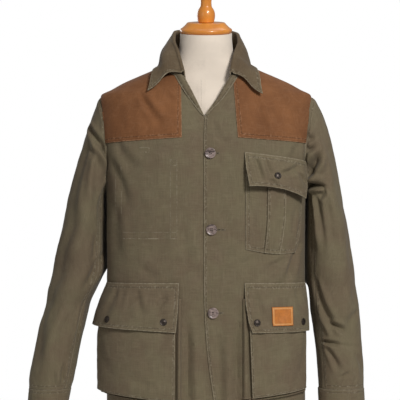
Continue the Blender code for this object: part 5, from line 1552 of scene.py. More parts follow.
def canvas_finish(name, colour, faded, threads, slub, worn_colour, wear=1.0, sheen=0.08, roughness=0.88,
                  cloudy=(0.33, 0.67), sewn_through=False):
    """Washed cotton canvas."""
    made, tree, shader, place = new_finish(
        name, roughness, Sheen_Weight=sheen, Sheen_Roughness=0.45, Specular_IOR_Level=0.22)
    cut = put(tree, "ShaderNodeUVMap", {"uv_map": "cut"}).outputs["UV"]
    edge, row = edge_and_row(tree)
    weave = placed_group(tree, "Plain weave", Cut=cut, Vector=place, Threads=threads, Slub=slub)
    crumple = placed_group(tree, "Crumple", Vector=place, Size=110.0)
    rubbed = placed_group(tree, "Worn edges", Vector=place, Edge=edge, Row=row, Amount=wear)
    worn = rubbed["Worn"]
    if sewn_through:
        worn = maths(tree, "MAXIMUM", worn, placed_group(tree, "Sewn through", Vector=place)["Rubbed"])
    base = blended(tree, spread(tree, weave["Cloud"], *cloudy), colour, faded)
    streaks = spread(tree, weave["Streaks"], -0.30, 0.30, 0.78, 1.0)
    base = blended(tree, 1.0, base, blended(tree, streaks, (0.0, 0.0, 0.0), (1.0, 1.0, 1.0)), "MULTIPLY")
    base = blended(tree, times(tree, crumple["Rubbed"], 0.14), base, worn_colour)
    # Darkens the cloth along each row of stitching: painted shade in the sunk groove, partly unfaded cloth.
    base = blended(tree, times(tree, rubbed["Sunk"], 0.45), base, dimmed(colour, 0.35))
    base = blended(tree, worn, base, worn_colour)
    tree.links.new(base, shader.inputs["Base Color"])
    height = plus(tree, times(tree, weave["Height"], 0.16),
                   times(tree, crumple["Height"], 0.7))
    height = minus(tree, height, times(tree, rubbed["Sunk"], 0.5))
    bumped(tree, shader, height, 0.0009, 0.75)
    return made


def horn_finish(name, dark, light):
    made, tree, shader, place = new_finish(
        name, 0.30, Specular_IOR_Level=0.5, Coat_Weight=0.25, Coat_Roughness=0.2)
    swirl = noise(tree, scaled(tree, place, (1.0, 1.0, 2.6)), 48.0, 2.0, 0.5, 1.2)
    fleck = noise(tree, place, 520.0, 2.0, 0.5, 1.0)
    share = spread(tree, plus(tree, times(tree, swirl, 0.9), times(tree, fleck, 0.1)),
                   0.34, 0.66)
    tree.links.new(blended(tree, share, dark, light), shader.inputs["Base Color"])
    tree.links.new(spread(tree, fleck, 0.3, 0.7, 0.26, 0.42), shader.inputs["Roughness"])
    bumped(tree, shader, fleck, 0.00004, 0.5)
    return made


def bronze_finish(name, dark, light):
    made, tree, shader, place = new_finish(name, 0.36, Metallic=0.85)
    patina = noise(tree, place, 420.0, 3.0, 0.6)
    share = spread(tree, patina, 0.42, 0.66)
    tree.links.new(blended(tree, share, dark, light), shader.inputs["Base Color"])
    tree.links.new(spread(tree, patina, 0.3, 0.7, 0.30, 0.55), shader.inputs["Roughness"])
    bumped(tree, shader, patina, 0.00008, 0.6)
    return made


def leather_finish(name, colour, dark, pale):
    made, tree, shader, place = new_finish(name, 0.50, Specular_IOR_Level=0.4)
    edge, row = edge_and_row(tree)
    burnt = spread(tree, edge, 0.0, 0.0013, 0.8, 0.0)
    off_row = maths(tree, "ABSOLUTE", minus(tree, edge, row))
    creased_in = spread(tree, off_row, 0.0008, 0.0022, 0.52, 0.0)
    pebbles = put(tree, "ShaderNodeTexVoronoi", None, {"Vector": place, "Scale": 1500.0}).outputs["Distance"]
    hide = noise(tree, place, 110.0, 4.0, 0.6)
    base = blended(tree, spread(tree, hide, 0.30, 0.70), colour, dimmed(colour, 0.78))
    base = blended(tree, burnt, blended(tree, creased_in, base, pale), dark)
    tree.links.new(base, shader.inputs["Base Color"])
    tree.links.new(spread(tree, hide, 0.3, 0.7, 0.42, 0.60), shader.inputs["Roughness"])
    height = plus(tree, pebbles, times(tree, hide, 0.8))
    bumped(tree, shader, minus(tree, height, times(tree, creased_in, 2.0)), 0.00016, 0.8)
    return made


def jersey_finish(name, colour):
    """Stretched cotton jersey, with its fine upright wales."""
    made, tree, shader, place = new_finish(name, 0.88, Sheen_Weight=0.3, Sheen_Roughness=0.5,
                                           Specular_IOR_Level=0.2)
    cut = put(tree, "ShaderNodeUVMap", {"uv_map": "cut"}).outputs["UV"]
    split = put(tree, "ShaderNodeSeparateXYZ", None, {0: cut})
    wales = maths(tree, "SINE", times(tree, split.outputs[0], 4200.0))
    loops = maths(tree, "SINE", times(tree, split.outputs[1], 5200.0))
    soil = noise(tree, place, 14.0, 4.0, 0.6)
    base = blended(tree, spread(tree, soil, 0.30, 0.72), colour, dimmed(colour, 0.90))
    tree.links.new(base, shader.inputs["Base Color"])
    knit = plus(tree, times(tree, wales, 0.5), times(tree, loops, 0.25))
    bumped(tree, shader, plus(tree, knit, times(tree, soil, 2.0)), 0.00016, 0.6)
    return made


def wood_finish(name, pale, deep):
    """Orange brown beech under a clear varnish."""
    made, tree, shader, place = new_finish(name, 0.34, Coat_Weight=0.6, Coat_Roughness=0.10)
    grain = placed_group(tree, "Wood grain", Vector=place, Ring=26.0)
    base = blended(tree, spread(tree, grain["Rings"], 0.28, 0.72), pale, deep)
    pores = times(tree, spread(tree, grain["Pores"], 0.58, 0.76), 0.45)
    base = blended(tree, pores, base, dimmed(deep, 0.45))
    tree.links.new(base, shader.inputs["Base Color"])
    tree.links.new(spread(tree, grain["Rings"], 0.2, 0.8, 0.30, 0.42), shader.inputs["Roughness"])
    bumped(tree, shader, grain["Pores"], 0.00010, 0.4)
    return made


def thread_finish(name, colour):
    made, tree, shader, place = new_finish(name, 0.80, Sheen_Weight=0.2, Specular_IOR_Level=0.2)
    twist = noise(tree, place, 700.0, 2.0)
    tree.links.new(blended(tree, spread(tree, twist, 0.3, 0.7), colour, dimmed(colour, 0.72)),
                   shader.inputs["Base Color"])
    bumped(tree, shader, twist, 0.00008, 0.6)
    return made


def floor_finish(name, colour):
    made, tree, shader, place = new_finish(name, 0.75, Specular_IOR_Level=0.15)
    cloud = noise(tree, place, 3.0, 3.0)
    tree.links.new(blended(tree, spread(tree, cloud, 0.2, 0.8), colour, dimmed(colour, 0.985)),
                   shader.inputs["Base Color"])
    return made


def finish(name):
    return bpy.data.materials[name]


def make_finishes():
    woven_group()
    crumple_group()
    wear_and_seam_shade_group()
    sewn_through_group()
    grain_group()
    tints = jacket_colours()
    olive = (tints.canvas, tints.canvas_faded, 1500.0, 1.0, tints.canvas_worn)
    canvas_finish("olive canvas", *olive)
    canvas_finish("olive canvas, pocket sewn inside", *olive, sewn_through=True)
    # A darker copy of the olive canvas for the collar: painted shade.
    canvas_finish("collar canvas", tints.collar, tints.shaded_collar_faded, *olive[2:])
    canvas_finish("rust canvas", tints.patch, tints.patch_faded, 1800.0, 0.7, tints.patch_worn,
                  0.9, 0.06, 0.84, (0.30, 0.74))
    horn_finish("horn", tints.horn_dark, tints.horn_light)
    bronze_finish("dark bronze", tints.bronze, dimmed(tints.bronze, 2.2))
    leather_finish("tan leather", tints.leather, dimmed(tints.leather, 0.35), tints.leather_pale)
    jersey_finish("cream jersey", tints.jersey)
    wood_finish("beech", tints.wood, tints.wood_grain)
    thread_finish("olive thread", tints.thread)
    thread_finish("rust thread", tints.patch_thread)
    thread_finish("tan thread", tints.leather_thread)
    # Near-black beads in the buttonholes' slits: painted shadow.
    thread_finish("dark slit", tints.slit)
    thread_finish("dark twist", tints.twist)
    floor_finish("pale floor", tints.floor)


# ---------------------------------------------------------------- turned and small hard pieces
def turned_piece(name, profile, finish, around):
    """A solid of (radius, height) rings, drawn up from its lowest ring by extruding and resizing."""
    deselect_all()
    radius, height = profile[0]
    bpy.ops.mesh.primitive_circle_add(
        vertices=around, radius=radius, fill_type="NGON", location=(0, 0, height))
    piece = bpy.context.object
    piece.name = piece.data.name = name
    bpy.ops.object.mode_set(mode="EDIT")
    bpy.ops.mesh.select_all(action="SELECT")
    for next_radius, next_height in profile[1:]:
        bpy.ops.mesh.extrude_region_move(TRANSFORM_OT_translate={"value": (0, 0, next_height - height)})
        share = next_radius / radius
        bpy.ops.transform.resize(value=(share, share, 1), center_override=(0, 0, next_height))
        radius, height = next_radius, next_height
    bpy.ops.mesh.select_all(action="SELECT")
    bpy.ops.mesh.remove_doubles(threshold=1e-7)
    bpy.ops.mesh.normals_make_consistent(inside=False)
    bpy.ops.object.mode_set(mode="OBJECT")
    bpy.ops.object.transform_apply(location=True, rotation=True, scale=True)
    give_finish(piece, finish)
    shade(piece, 32)
    return piece


def rounded(profile):
    """The profile drawn as a smooth line, with three rings for each of its own."""
    line = flat_line(profile, 3 * (len(profile) - 1) + 1)
    return [(max(float(radius), 1e-5), float(height)) for radius, height in line]


def set_down(piece, point, normal, roll=0.0):
    """Turns a piece made on the origin to face normal at point, and applies its place to its mesh."""
    deselect_all()
    piece.select_set(True)
    bpy.context.view_layer.objects.active = piece
    piece.rotation_mode = "QUATERNION"
    facing = Vector(normal).to_track_quat("Z", "Y")
    piece.rotation_quaternion = facing
    if roll:
        piece.rotation_quaternion = facing @ Quaternion((0, 0, 1), roll)
    piece.location = Vector(point)
    bpy.ops.object.transform_apply(location=True, rotation=True, scale=True)
    return piece


def copied(piece, name):
    made = piece.copy()
    made.data = piece.data.copy()
    made.name = made.data.name = name
    bpy.context.scene.collection.objects.link(made)
    return made


def joined(name, pieces):
    deselect_all()
    for piece in pieces:
        piece.select_set(True)
    bpy.context.view_layer.objects.active = pieces[0]
    bpy.ops.object.join()
    piece = bpy.context.object
    piece.name = piece.data.name = name
    return piece


BUTTON_RINGS = [
    (0.0094, 0), (0.0108, 0.0003), (0.01175, 0.0011), (0.012, 0.002), (0.01185, 0.0028), (0.0113, 0.0034),
    (0.0106, 0.00355), (0.0099, 0.0033), (0.0091, 0.0027), (0.008, 0.00235), (0.005, 0.0022), (0.002, 0.0021),
]


USUAL_BUTTON = 0.024  # the width that its rings are drawn at
HOLE_RADIUS = 0.00115
HOLE_ROW = 0.0019  # distance of a bar of thread from the button's middle
STRAND = (0.0052, 0.0006, 0.0008)  # length, width and height of one bead of thread
STRAND_PITCH = 0.00042


def button_body():
    """One four-hole button lying on the origin."""
    sizes = jacket_sizes()
    share = sizes.button_width / USUAL_BUTTON
    rings = [(radius * share, height) for radius, height in BUTTON_RINGS]
    body = turned_piece("button", rings, finish("horn"), 72)
    drills = []
    for turn in range(4):
        angle = math.radians(45 + 90 * turn)
        deselect_all()
        place = (sizes.button_holes * math.cos(angle), sizes.button_holes * math.sin(angle), 0.0015)
        bpy.ops.mesh.primitive_cylinder_add(vertices=20, radius=HOLE_RADIUS, depth=0.01, location=place)
        drills.append(bpy.context.object)
    drill = joined("drill", drills)
    deselect_all()
    apply_modifier(body, "BOOLEAN", operation="DIFFERENCE", object=drill, solver="EXACT")
    bpy.data.objects.remove(drill)
    deselect_all()
    apply_modifier(body, "BEVEL", width=0.00022, segments=2, limit_method="ANGLE",
                   angle_limit=math.radians(50))
    shade(body, 32)
    return body


def button_thread(name):
    """Two bars of thread over the button's holes, each of three drawn-out beads."""
    bars = []
    for side in (-1, 1):
        for strand in (-1, 0, 1):
            deselect_all()
            bpy.ops.mesh.primitive_uv_sphere_add(segments=10, ring_count=8, radius=0.5)
            bar = bpy.context.object
            bar.scale = STRAND
            bar.location = (0, side * HOLE_ROW + strand * STRAND_PITCH, 0.0023)
            bpy.ops.object.transform_apply(location=True, rotation=True, scale=True)
            bars.append(bar)
    bar = joined(name, bars)
    give_finish(bar, finish("dark twist"))
    shade(bar, 60)
    return bar


SNAP_RINGS = [
    (0.0066, 0), (0.0074, 0.0002), (0.0077, 0.0008), (0.0075, 0.0015), (0.0068, 0.0019), (0.006, 0.0017),
    (0.0054, 0.0013), (0.0046, 0.0015), (0.0036, 0.0021), (0.0022, 0.0024), (0.0008, 0.0025),
]
# Seams of the pocket sewn on inside the right front, by distance from the middle plane and height: the axis
# that a seam stays at one place of, that place, its two ends, and how rubbed it is.
INSIDE_SEAMS = [
    ("x", 0.1985, 0.545, 0.655, 0.35), ("x", 0.1855, 0.545, 0.655, 0.45), ("x", 0.0775, 0.49, 0.662, 0.35),
    ("x", 0.0635, 0.49, 0.662, 0.5), ("z", 0.4915, 0.0635, 0.182, 0.9), ("z", 0.505, 0.0635, 0.182, 0.35),
    ("z", 0.662, 0.0635, 0.078, 0.7), ("z", 0.65, 0.0635, 0.078, 0.7), ("z", 0.679, 0.124, 0.146, 0.8),
    ("z", 0.689, 0.124, 0.146, 0.5), ("x", 0.124, 0.679, 0.689, 0.8),
]
CROSSED_BOX = (-0.0775, -0.0635, 0.65, 0.662)
FLAP_SEAM = 0.0095  # the second row of stitches below a flap's seam
# Each button's place on the left front, where its buttonhole ends, and how far its holes are turned.
BUTTONS = [(0.0086, 0.6763, 0.027, 0.35), (0.0114, 0.511, 0.04, 0.02), (0.0147, 0.331, 0.035, 0.06)]
BUTTONHOLE_START = 0.004  # from the button's middle


def buttonhole_rows(x_from, x_to, z):
    """Rows of close stitches round a level slit on the left front, ending in a bar."""
    lines = []
    for x in np.arange(x_from, x_to, 0.00085):
        for side in (-1, 1):
            lines.append([(x, z + side * 0.0004), (x + 0.0002, z + side * 0.0021)])
    for x in x_to + 0.0002 + np.arange(6) * 0.00035:
        lines.append([(x, z - 0.0022), (x, z + 0.0022)])
    return [on_front("left", line, 0.0002, 8) for line in lines]


# ---------------------------------------------------------------- dress form
NECK_TOP_Z = 0.9520
NECK_LEAN = math.radians(12)
NECK_UP = np.array([0, -math.sin(NECK_LEAN), math.cos(NECK_LEAN)])
CAP_HEIGHT = 0.0240
SETTLED = 0.0004
FORM = Table(("z", "half_width", "front", "back", "square"), [
    (0.03, 0.168, 0.1, 0.102, 2.3), (0.2, 0.174, 0.105, 0.108, 2.3),
    (0.32, 0.168, 0.103, 0.104, 2.3), (0.43, 0.148, 0.096, 0.09, 2.3),
    (0.5, 0.148, 0.096, 0.09, 2.3), (0.6, 0.162, 0.108, 0.098, 2.4),
    (0.68, 0.173, 0.108, 0.102, 2.5), (0.74, 0.185, 0.098, 0.098, 2.5),
    (0.775, 0.208, 0.088, 0.093, 2.4), (0.79, 0.216, 0.084, 0.09, 2.3),
    (0.8054, 0.214, 0.078, 0.086, 2.2), (0.8181, 0.2062, 0.072, 0.082, 2.1),
    (0.8344, 0.1814, 0.065, 0.076, 2), (0.8486, 0.151, 0.06, 0.071, 2),
    (0.8641, 0.1155, 0.0565, 0.0665, 2), (0.877, 0.0912, 0.0555, 0.0635, 2),
    (0.89, 0.0715, 0.0555, 0.0615, 2), (0.915, 0.061, 0.0575, 0.06, 2),
    (0.938, 0.0585, 0.0585, 0.0585, 2),
])
BASE_RINGS = [
    (0.164, 0), (0.1675, 0.0006), (0.1697, 0.0026), (0.17, 0.005), (0.17, 0.0155), (0.1692, 0.018),
    (0.1665, 0.0207), (0.162, 0.022), (0.031, 0.022), (0.03, 0.0224), (0.03, 0.029), (0.0296, 0.0296),
]
CAP_RINGS = [
    (0.0545, 0), (0.0568, 0.0009), (0.0584, 0.003), (0.059, 0.0058), (0.0586, 0.0082), (0.0574, 0.0098),
    (0.056, 0.0106), (0.052, 0.0136), (0.0476, 0.0176), (0.0444, 0.0212), (0.043, 0.023), (0.0414, 0.0239),
    (0.0405, 0.024),
]
FINIAL_RINGS = [
    (0.017, 0), (0.0182, 0.0012), (0.0187, 0.004), (0.0198, 0.009), (0.0204, 0.015), (0.0199, 0.0205),
    (0.0182, 0.0265), (0.015, 0.0318), (0.0131, 0.0352), (0.0124, 0.04), (0.0123, 0.046), (0.0128, 0.0505),
    (0.0142, 0.0535), (0.0172, 0.0575), (0.0198, 0.064), (0.0205, 0.0705), (0.0197, 0.077), (0.0168, 0.0836),
    (0.012, 0.0882), (0.0062, 0.091), (0.0015, 0.0919),
]


def form_surface():
    """The torso, lightly drawn in along its seams."""
    levels = np.concatenate([np.linspace(0.0300, 0.74, 60)[:-1], np.linspace(0.74, NECK_TOP_Z, 60)])
    turns = np.linspace(0, 2 * math.pi, 161)
    turn, z = np.meshgrid(turns, levels)
    y_side = -np.cos(turn)
    depth = np.where(y_side > 0, FORM.read("back", z), FORM.read("front", z))
    square = FORM.read("square", z)
    x = FORM.read("half_width", z) * np.sign(np.sin(turn)) * np.abs(np.sin(turn)) ** (2 / square)
    y = depth * np.sign(y_side) * np.abs(y_side) ** (2 / square)
    height = z + y * math.tan(NECK_LEAN) * ease(0.905, NECK_TOP_Z, z)
    points = np.stack([x, y, height], -1)
    points[:, -1] = points[:, 0]
    seams = bell(np.abs(x), 0.0022) + bell(np.abs(np.abs(x) - 0.42 * FORM.read("half_width", z)), 0.0022)
    lift = -0.0007 * np.clip(seams, 0, 1) * (1 - ease(0.70, 0.76, z))
    outwards = points * LEVEL
    return points + outwards / (np.linalg.norm(outwards, axis=-1, keepdims=True) + 1e-9) * lift[..., None]


# ---------------------------------------------------------------- settings
def colour(name, description, default):
    return FloatVectorProperty(name=name, description=description, default=default, size=3, min=0.0, max=1.0,
                               subtype="COLOR")


def size(name, description, default, low, high):
    return FloatProperty(name=name, description=description, default=default, min=low, max=high, precision=5,
                         subtype="DISTANCE", unit="LENGTH")


def power(name, description, default):
    return FloatProperty(
        name=name, description=description, default=default, min=0.0, max=500.0, unit="POWER")


class JacketSizes(bpy.types.PropertyGroup):
    """Sizes of the jacket's cloth and trimmings."""

    crease_depth: FloatProperty(
        name="Crease depth", description="Depth of creases, as a share of the usual",
        default=1.0, min=0.0, max=1.5)
    stitch_length: size("Stitch length", "Length of one stitch", 0.0027, 0.001, 0.006)
    thread: size("Thread width", "Width of one stitch", 0.00062, 0.0002, 0.002)
    button_width: size("Button width", "Width of the front buttons", 0.0240, 0.020, 0.0242)
    button_holes: size("Button holes", "Distance of a button's holes from its middle", 0.0027, 0.002, 0.004)
    topstitch: size("Topstitching inset", "Distance of edge stitching from an edge", 0.0065, 0.002, 0.012)


class JacketColours(bpy.types.PropertyGroup):
    """Colours of the jacket and of the dress form."""

    canvas: colour("Canvas", "Main cloth", (0.168, 0.1250, 0.0780))
    canvas_faded: colour("Faded canvas", "Main cloth where it has faded", (0.184, 0.1510, 0.0895))
    canvas_worn: colour("Worn canvas", "Main cloth where its edges are rubbed", (0.285, 0.240, 0.165))
    # The collar's colours are the main canvas's, darkened: painted shade where the collar turns away from the
    # light.
    collar: colour("Collar", "Collar's cloth", (0.128, 0.089, 0.051))
    shaded_collar_faded: colour("Faded collar", "Collar's cloth where it has faded", (0.156, 0.114, 0.066))
    # Near black: a painted shadow inside each buttonhole's slit, laid on as long beads.
    slit: colour("Slit", "Inside of the buttonholes' slits", (0.020, 0.016, 0.012))
    twist: colour("Button twist", "Thread that holds the buttons", (0.034, 0.025, 0.019))
    patch: colour("Shoulder patches", "Cloth of the shoulder patches", (0.190, 0.077, 0.030))
    patch_faded: colour("Faded patches", "Patch cloth where it has faded", (0.262, 0.109, 0.042))
    patch_worn: colour("Worn patches", "Patch cloth where it is rubbed", (0.400, 0.215, 0.115))
    thread: colour("Thread", "Main stitching", (0.250, 0.210, 0.145))
    patch_thread: colour("Patch thread", "Stitching on the patches", (0.150, 0.080, 0.042))
    leather_thread: colour("Label thread", "Stitching on the leather patch", (0.760, 0.460, 0.210))
    horn_dark: colour("Dark horn", "Dark streaks of the buttons", (0.075, 0.053, 0.047))
    horn_light: colour("Pale horn", "Pale streaks of the buttons", (0.350, 0.262, 0.232))
    bronze: colour("Bronze", "Snap caps", (0.050, 0.040, 0.034))
    leather: colour("Leather", "Leather patch", (0.570, 0.190, 0.034))
    leather_pale: colour("Pressed leather", "Leather patch along its stitches", (0.820, 0.430, 0.150))
    jersey: colour("Jersey", "Cover of the dress form", (0.860, 0.745, 0.620))
    wood: colour("Wood", "Pale wood of the dress form", (0.840, 0.315, 0.042))
    wood_grain: colour("Wood grain", "Dark grain of the wood", (0.660, 0.220, 0.027))
    floor: colour("Floor", "Floor under the dress form", (0.900, 0.900, 0.900))


class StageSettings(bpy.types.PropertyGroup):
    """Lights and floor."""

    front_light: power("Front light", "Power of the soft light in front", 73.0)
    fill_light: power("Fill light", "Power of the light on the other side", 4.0)
    top_light: power("Top light", "Power of the light above", 7.0)
    back_light: power("Back light", "Power of the light behind", 14.0)
    surround: FloatProperty(name="Surround", description="Brightness of the white surround on the part",
                            default=0.22, min=0.0, max=3.0)
    floor_radius: size("Floor radius", "Reach of the round floor", 0.85, 0.3, 3.0)


# ---------------------------------------------------------------- operators
# Distances of rows of stitches from the edge they follow.
NEAR_ROW, FAR_ROW = 0.0022, 0.0085
FRONT_STITCH = 0.0040
PATCH_STITCHES = (0.0018, 0.0080)
CHEST_STITCHES = (0.0016, 0.0072)
LABEL_STITCH = 0.0036
NECK_STITCH = [(-0.0110, 0.7740), (-0.0110, 0.8400)]  # stands free in the open neck, off the cloth's edge
FALL_START = 0.062  # the collar's stitching starts this far from the neck seam


class JACKET_OT_finishes(bpy.types.Operator):
    """Makes the cloths, threads, horn, metal, leather and wood."""

    bl_idname = "jacket.finishes"
    bl_label = "Finishes"
    bl_options = {"REGISTER", "UNDO"}

    def execute(self, context):
        make_finishes()
        return {"FINISHED"}


class JACKET_OT_fronts(bpy.types.Operator):
    """Makes the two fronts and their stitching."""

    bl_idname = "jacket.fronts"
    bl_label = "Fronts"
    bl_options = {"REGISTER", "UNDO"}

    def execute(self, context):
        for name in ("right", "left"):
            points, normals = front_surface(name)
            sort = "olive canvas" if name == "left" else "olive canvas, pocket sewn inside"
            edge = from_edge(points, 1, 0.3, 1, 0)
            piece = cloth(f"cloth_front_{name}", points, CANVAS, finish(sort), edge, FRONT_STITCH)
            belongs(piece, "olive_canvas", f"front_{name}")
            rows = rows_on(points, normals, ("lower", HEM_STITCH), ("upper", FRONT_STITCH))
            if name == "left":
                rows.append(row_on(points, normals, "left", FRONT_STITCH, 0.0, 0.012))
            else:
                rows += self.inside_pocket()
                rows.append(on_front("right", NECK_STITCH, 0.0002))
            sewn(f"stitching_front_{name}", rows)
        return {"FINISHED"}

    def inside_pocket(self):
        """Stitches that hold a pocket on the right front's inner side, a crossed box and a bar tack."""
        rows = []
        for axis, at, low, high, _ in INSIDE_SEAMS:
            line = [(-at, low), (-at, high)] if axis == "x" else [(-low, at), (-high, at)]
            rows.append(on_front("right", line, 0.0, 120))
        low_x, high_x, low_z, high_z = CROSSED_BOX
        rows.append(on_front("right", [(low_x, low_z), (high_x, high_z)], 0.0, 40))
        rows.append(on_front("right", [(low_x, high_z), (high_x, low_z)], 0.0, 40))
        return rows


class JACKET_OT_back(bpy.types.Operator):
    """Makes the back and its stitching."""

    bl_idname = "jacket.back"
    bl_label = "Back"
    bl_options = {"REGISTER", "UNDO"}

    def execute(self, context):
        points, normals = back_surface()
        edge = from_edge(points, 0.6, 0.6, 1, 0.6)
        piece = cloth("cloth_back", points, CANVAS, finish("olive canvas"), edge, FAR_ROW)
        belongs(piece, "olive_canvas", "back")
        sides = [(edge, inset) for edge in ("left", "right") for inset in (0.0020, FAR_ROW)]
        sewn("stitching_back", rows_on(points, normals, ("lower", HEM_STITCH), *sides))
        return {"FINISHED"}


class JACKET_OT_patches(bpy.types.Operator):
    """Makes the shoulder patches and their double stitching."""

    bl_idname = "jacket.patches"
    bl_label = "Shoulder patches"
    bl_options = {"REGISTER", "UNDO"}

    def execute(self, context):
        for name in ("right", "left"):
            points, normals = patch_surface(name)
            piece = cloth(f"cloth_shoulder_patch_{name}", points, FACING, finish("rust canvas"),
                          from_edge(points, 1, 0, 1, 0.4), PATCH_STITCHES[-1])
            belongs(piece, "rust_canvas", f"shoulder_patch_{name}")
            rows = [(edge, inset, inset) for inset in PATCH_STITCHES for edge in ("left", "lower")]
            sewn(f"stitching_patch_{name}", rows_on(points, normals, *rows), "rust thread", "rust_canvas")
        return {"FINISHED"}


class JACKET_OT_sleeves(bpy.types.Operator):
    """Makes the two-piece sleeves, their cuffs and stitching."""

    bl_idname = "jacket.sleeves"
    bl_label = "Sleeves and cuffs"
    bl_options = {"REGISTER", "UNDO"}

    def execute(self, context):
        for name in ("right", "left"):
            rows = []
            for part in ("upper", "under"):
                points, normals = sleeve_surface(name, part)
                edge = from_edge(points, 0.5, 0.5, 0.4, 0.5)
                tabbed, facing, edge = with_tab(name, points, normals, edge)
                piece = cloth(f"cloth_sleeve_{part}_{name}", tabbed, CANVAS, finish("olive canvas"), edge,
                              0.0090, facing.reshape(-1, 3))
                belongs(piece, "olive_canvas", f"sleeve_{part}_{name}")
                if part == "upper":
                    rows += rows_on(points, normals, ("left", NEAR_ROW), ("right", NEAR_ROW),
                                    ("left", FAR_ROW), ("right", FAR_ROW), ("upper", 0.0025))
            points, normals = cuff_surface(name)
            away = (points - points[:, :-1].mean(axis=1, keepdims=True))[:, :-1].reshape(-1, 3)
            edge = from_edge(points, 0, 0, 0.7, 1)
            piece = cloth(f"cloth_cuff_{name}", points, DOUBLE, finish("olive canvas"), edge, 0.0065, away,
                          closed=True)
            belongs(piece, "olive_canvas", f"cuff_{name}")
            rows += rows_on(points, normals, ("lower", 0.0070), ("upper", 0.0060), ("lower", 0.0015))
            sewn(f"stitching_sleeve_{name}", rows)
        return {"FINISHED"}


class JACKET_OT_collar(bpy.types.Operator):
    """Makes the collar and the facings that turn back beside the open neck."""

    bl_idname = "jacket.collar"
    bl_label = "Collar and facings"
    bl_options = {"REGISTER", "UNDO"}

    def execute(self, context):
        points, normals = collar_surface()
        piece = cloth("cloth_collar", points, DOUBLE, finish("collar canvas"), from_edge(points, 0, 1, 1, 1),
                      0.0065, normals.reshape(-1, 3))
        belongs(piece, "olive_canvas", "collar")
        inset = jacket_sizes().topstitch
        rows = [row_on(points, normals, "right", inset, inset, inset)]
        for edge in ("lower", "upper"):
            row, facing = row_on(points, normals, edge, inset)
            along = distance_along(row)
            kept = (along > FALL_START) & (along < along[-1] - inset)
            rows.append((row[kept], facing[kept]))
        sewn("stitching_collar", rows)
        rows = []
        for name in ("right", "left"):
            points, normals = facing_surface(name)
            piece = cloth(f"cloth_facing_{name}", points, FACING, finish("olive canvas"),
                          from_edge(points, 1, 1, 0, 0), 0.0040)
            belongs(piece, "olive_canvas", f"facing_{name}")
            rows.append(row_on(points, normals, "right", NEAR_ROW))
        sewn("stitching_facings", rows)
        return {"FINISHED"}


class JACKET_OT_pockets(bpy.types.Operator):
    """Makes the bellows pockets and the chest pocket."""

    bl_idname = "jacket.pockets"
    bl_label = "Pockets"
    bl_options = {"REGISTER", "UNDO"}

    def execute(self, context):
        rows = []
        for name in ("right", "left"):
            points = lower_pocket_surface(name)
            normals = directions(points)
            left, right, lower, _ = tape_measures(points)
            fold = GUSSET_CELLS - 1
            edges = (left - left[:, fold, None], right - right[:, -fold - 1, None], lower - lower[fold])
            piece = cloth(f"cloth_lower_pocket_{name}", points, CANVAS, finish("olive canvas"),
                          np.abs(np.min(edges, axis=0)), 0.0030, self.facing_out(points))
            belongs(piece, "olive_canvas", f"lower_pocket_{name}")
            face, facing = (grid[GUSSET_CELLS:, GUSSET_CELLS:-GUSSET_CELLS] for grid in (points, normals))
            rows += rows_on(face, facing, ("left", NEAR_ROW, NEAR_ROW), ("right", NEAR_ROW, NEAR_ROW),
                            ("lower", NEAR_ROW, NEAR_ROW, NEAR_ROW))
        points = chest_pocket_surface()
        normals = directions(points)
        piece = cloth("cloth_chest_pocket", points, CANVAS, finish("olive canvas"),
                      self.chest_edges(points), CHEST_STITCHES[-1], self.facing_out(points))
        belongs(piece, "olive_canvas", "chest_pocket")
        for inset in CHEST_STITCHES:
            rows += rows_on(points, normals, ("left", inset, inset), ("right", inset, inset),
                            ("lower", inset, inset, inset))
        sewn("stitching_pockets", rows)
        return {"FINISHED"}

    def facing_out(self, points):
        return (points * LEVEL).reshape(-1, 3)

    def chest_edges(self, points):
        """Distance from the pocket's edges and from the box pleat's two folds."""
        left, right, _, _ = tape_measures(points)
        left, right = left - left[:, PLEAT_COLUMN, None], right - right[:, -PLEAT_COLUMN - 1, None]
        folds = np.minimum(np.abs(left), np.abs(right))
        return np.minimum(from_edge(points, 1, 1, 1, 0), folds + 0.0008)


class JACKET_OT_flaps(bpy.types.Operator):
    """Makes the pocket flaps, their snaps and the bare leather patch."""

    bl_idname = "jacket.flaps"
    bl_label = "Flaps, snaps and leather patch"
    bl_options = {"REGISTER", "UNDO"}

    def execute(self, context):
        inset = jacket_sizes().topstitch
        cap = turned_piece("snap", SNAP_RINGS, finish("dark bronze"), 40)
        rows = []
        for key, flap in FLAPS.items():
            points = flap_surface(key)
            normals = directions(points)
            upper = tape_measures(points)[3]
            edge = np.minimum(from_edge(points, 1, 1, 1, 0), upper * inset / FLAP_SEAM)
            piece = cloth(f"cloth_flap_{key}", points, DOUBLE, finish("olive canvas"), edge, inset)
            belongs(piece, "olive_canvas", f"flap_{key}")
            rows += rows_on(points, normals, ("left", inset, inset), ("right", inset, inset),
                            ("lower", inset, inset, inset), ("upper", 0.0015), ("upper", FLAP_SEAM))
            for index, (column, row) in enumerate(flap["snaps"]):
                point, normal = flap_place(key, column, row)
                snap = set_down(copied(cap, f"metal_snap_{key}_{index + 1}"), point + normal * 0.0001, normal)
                belongs(snap, "dark_bronze", f"snap_{key}_{index + 1}")
        bpy.data.objects.remove(cap)
        sewn("stitching_flaps", rows)
        points = label_surface()
        edge = from_edge(points, 1, 1, 1, 1)
        piece = cloth("leather_label", points, LEATHER, finish("tan leather"), edge, LABEL_STITCH)
        belongs(piece, "tan_leather", "leather_patch")
        normals = directions(points)
        insets = [LABEL_STITCH] * 3
        rows = rows_on(points, normals, *((edge, *insets) for edge in ("left", "right", "lower", "upper")))
        sewn("stitching_label", rows, "tan thread", "tan_leather", length=0.0022, proud=0.0, width=0.0009)
        return {"FINISHED"}


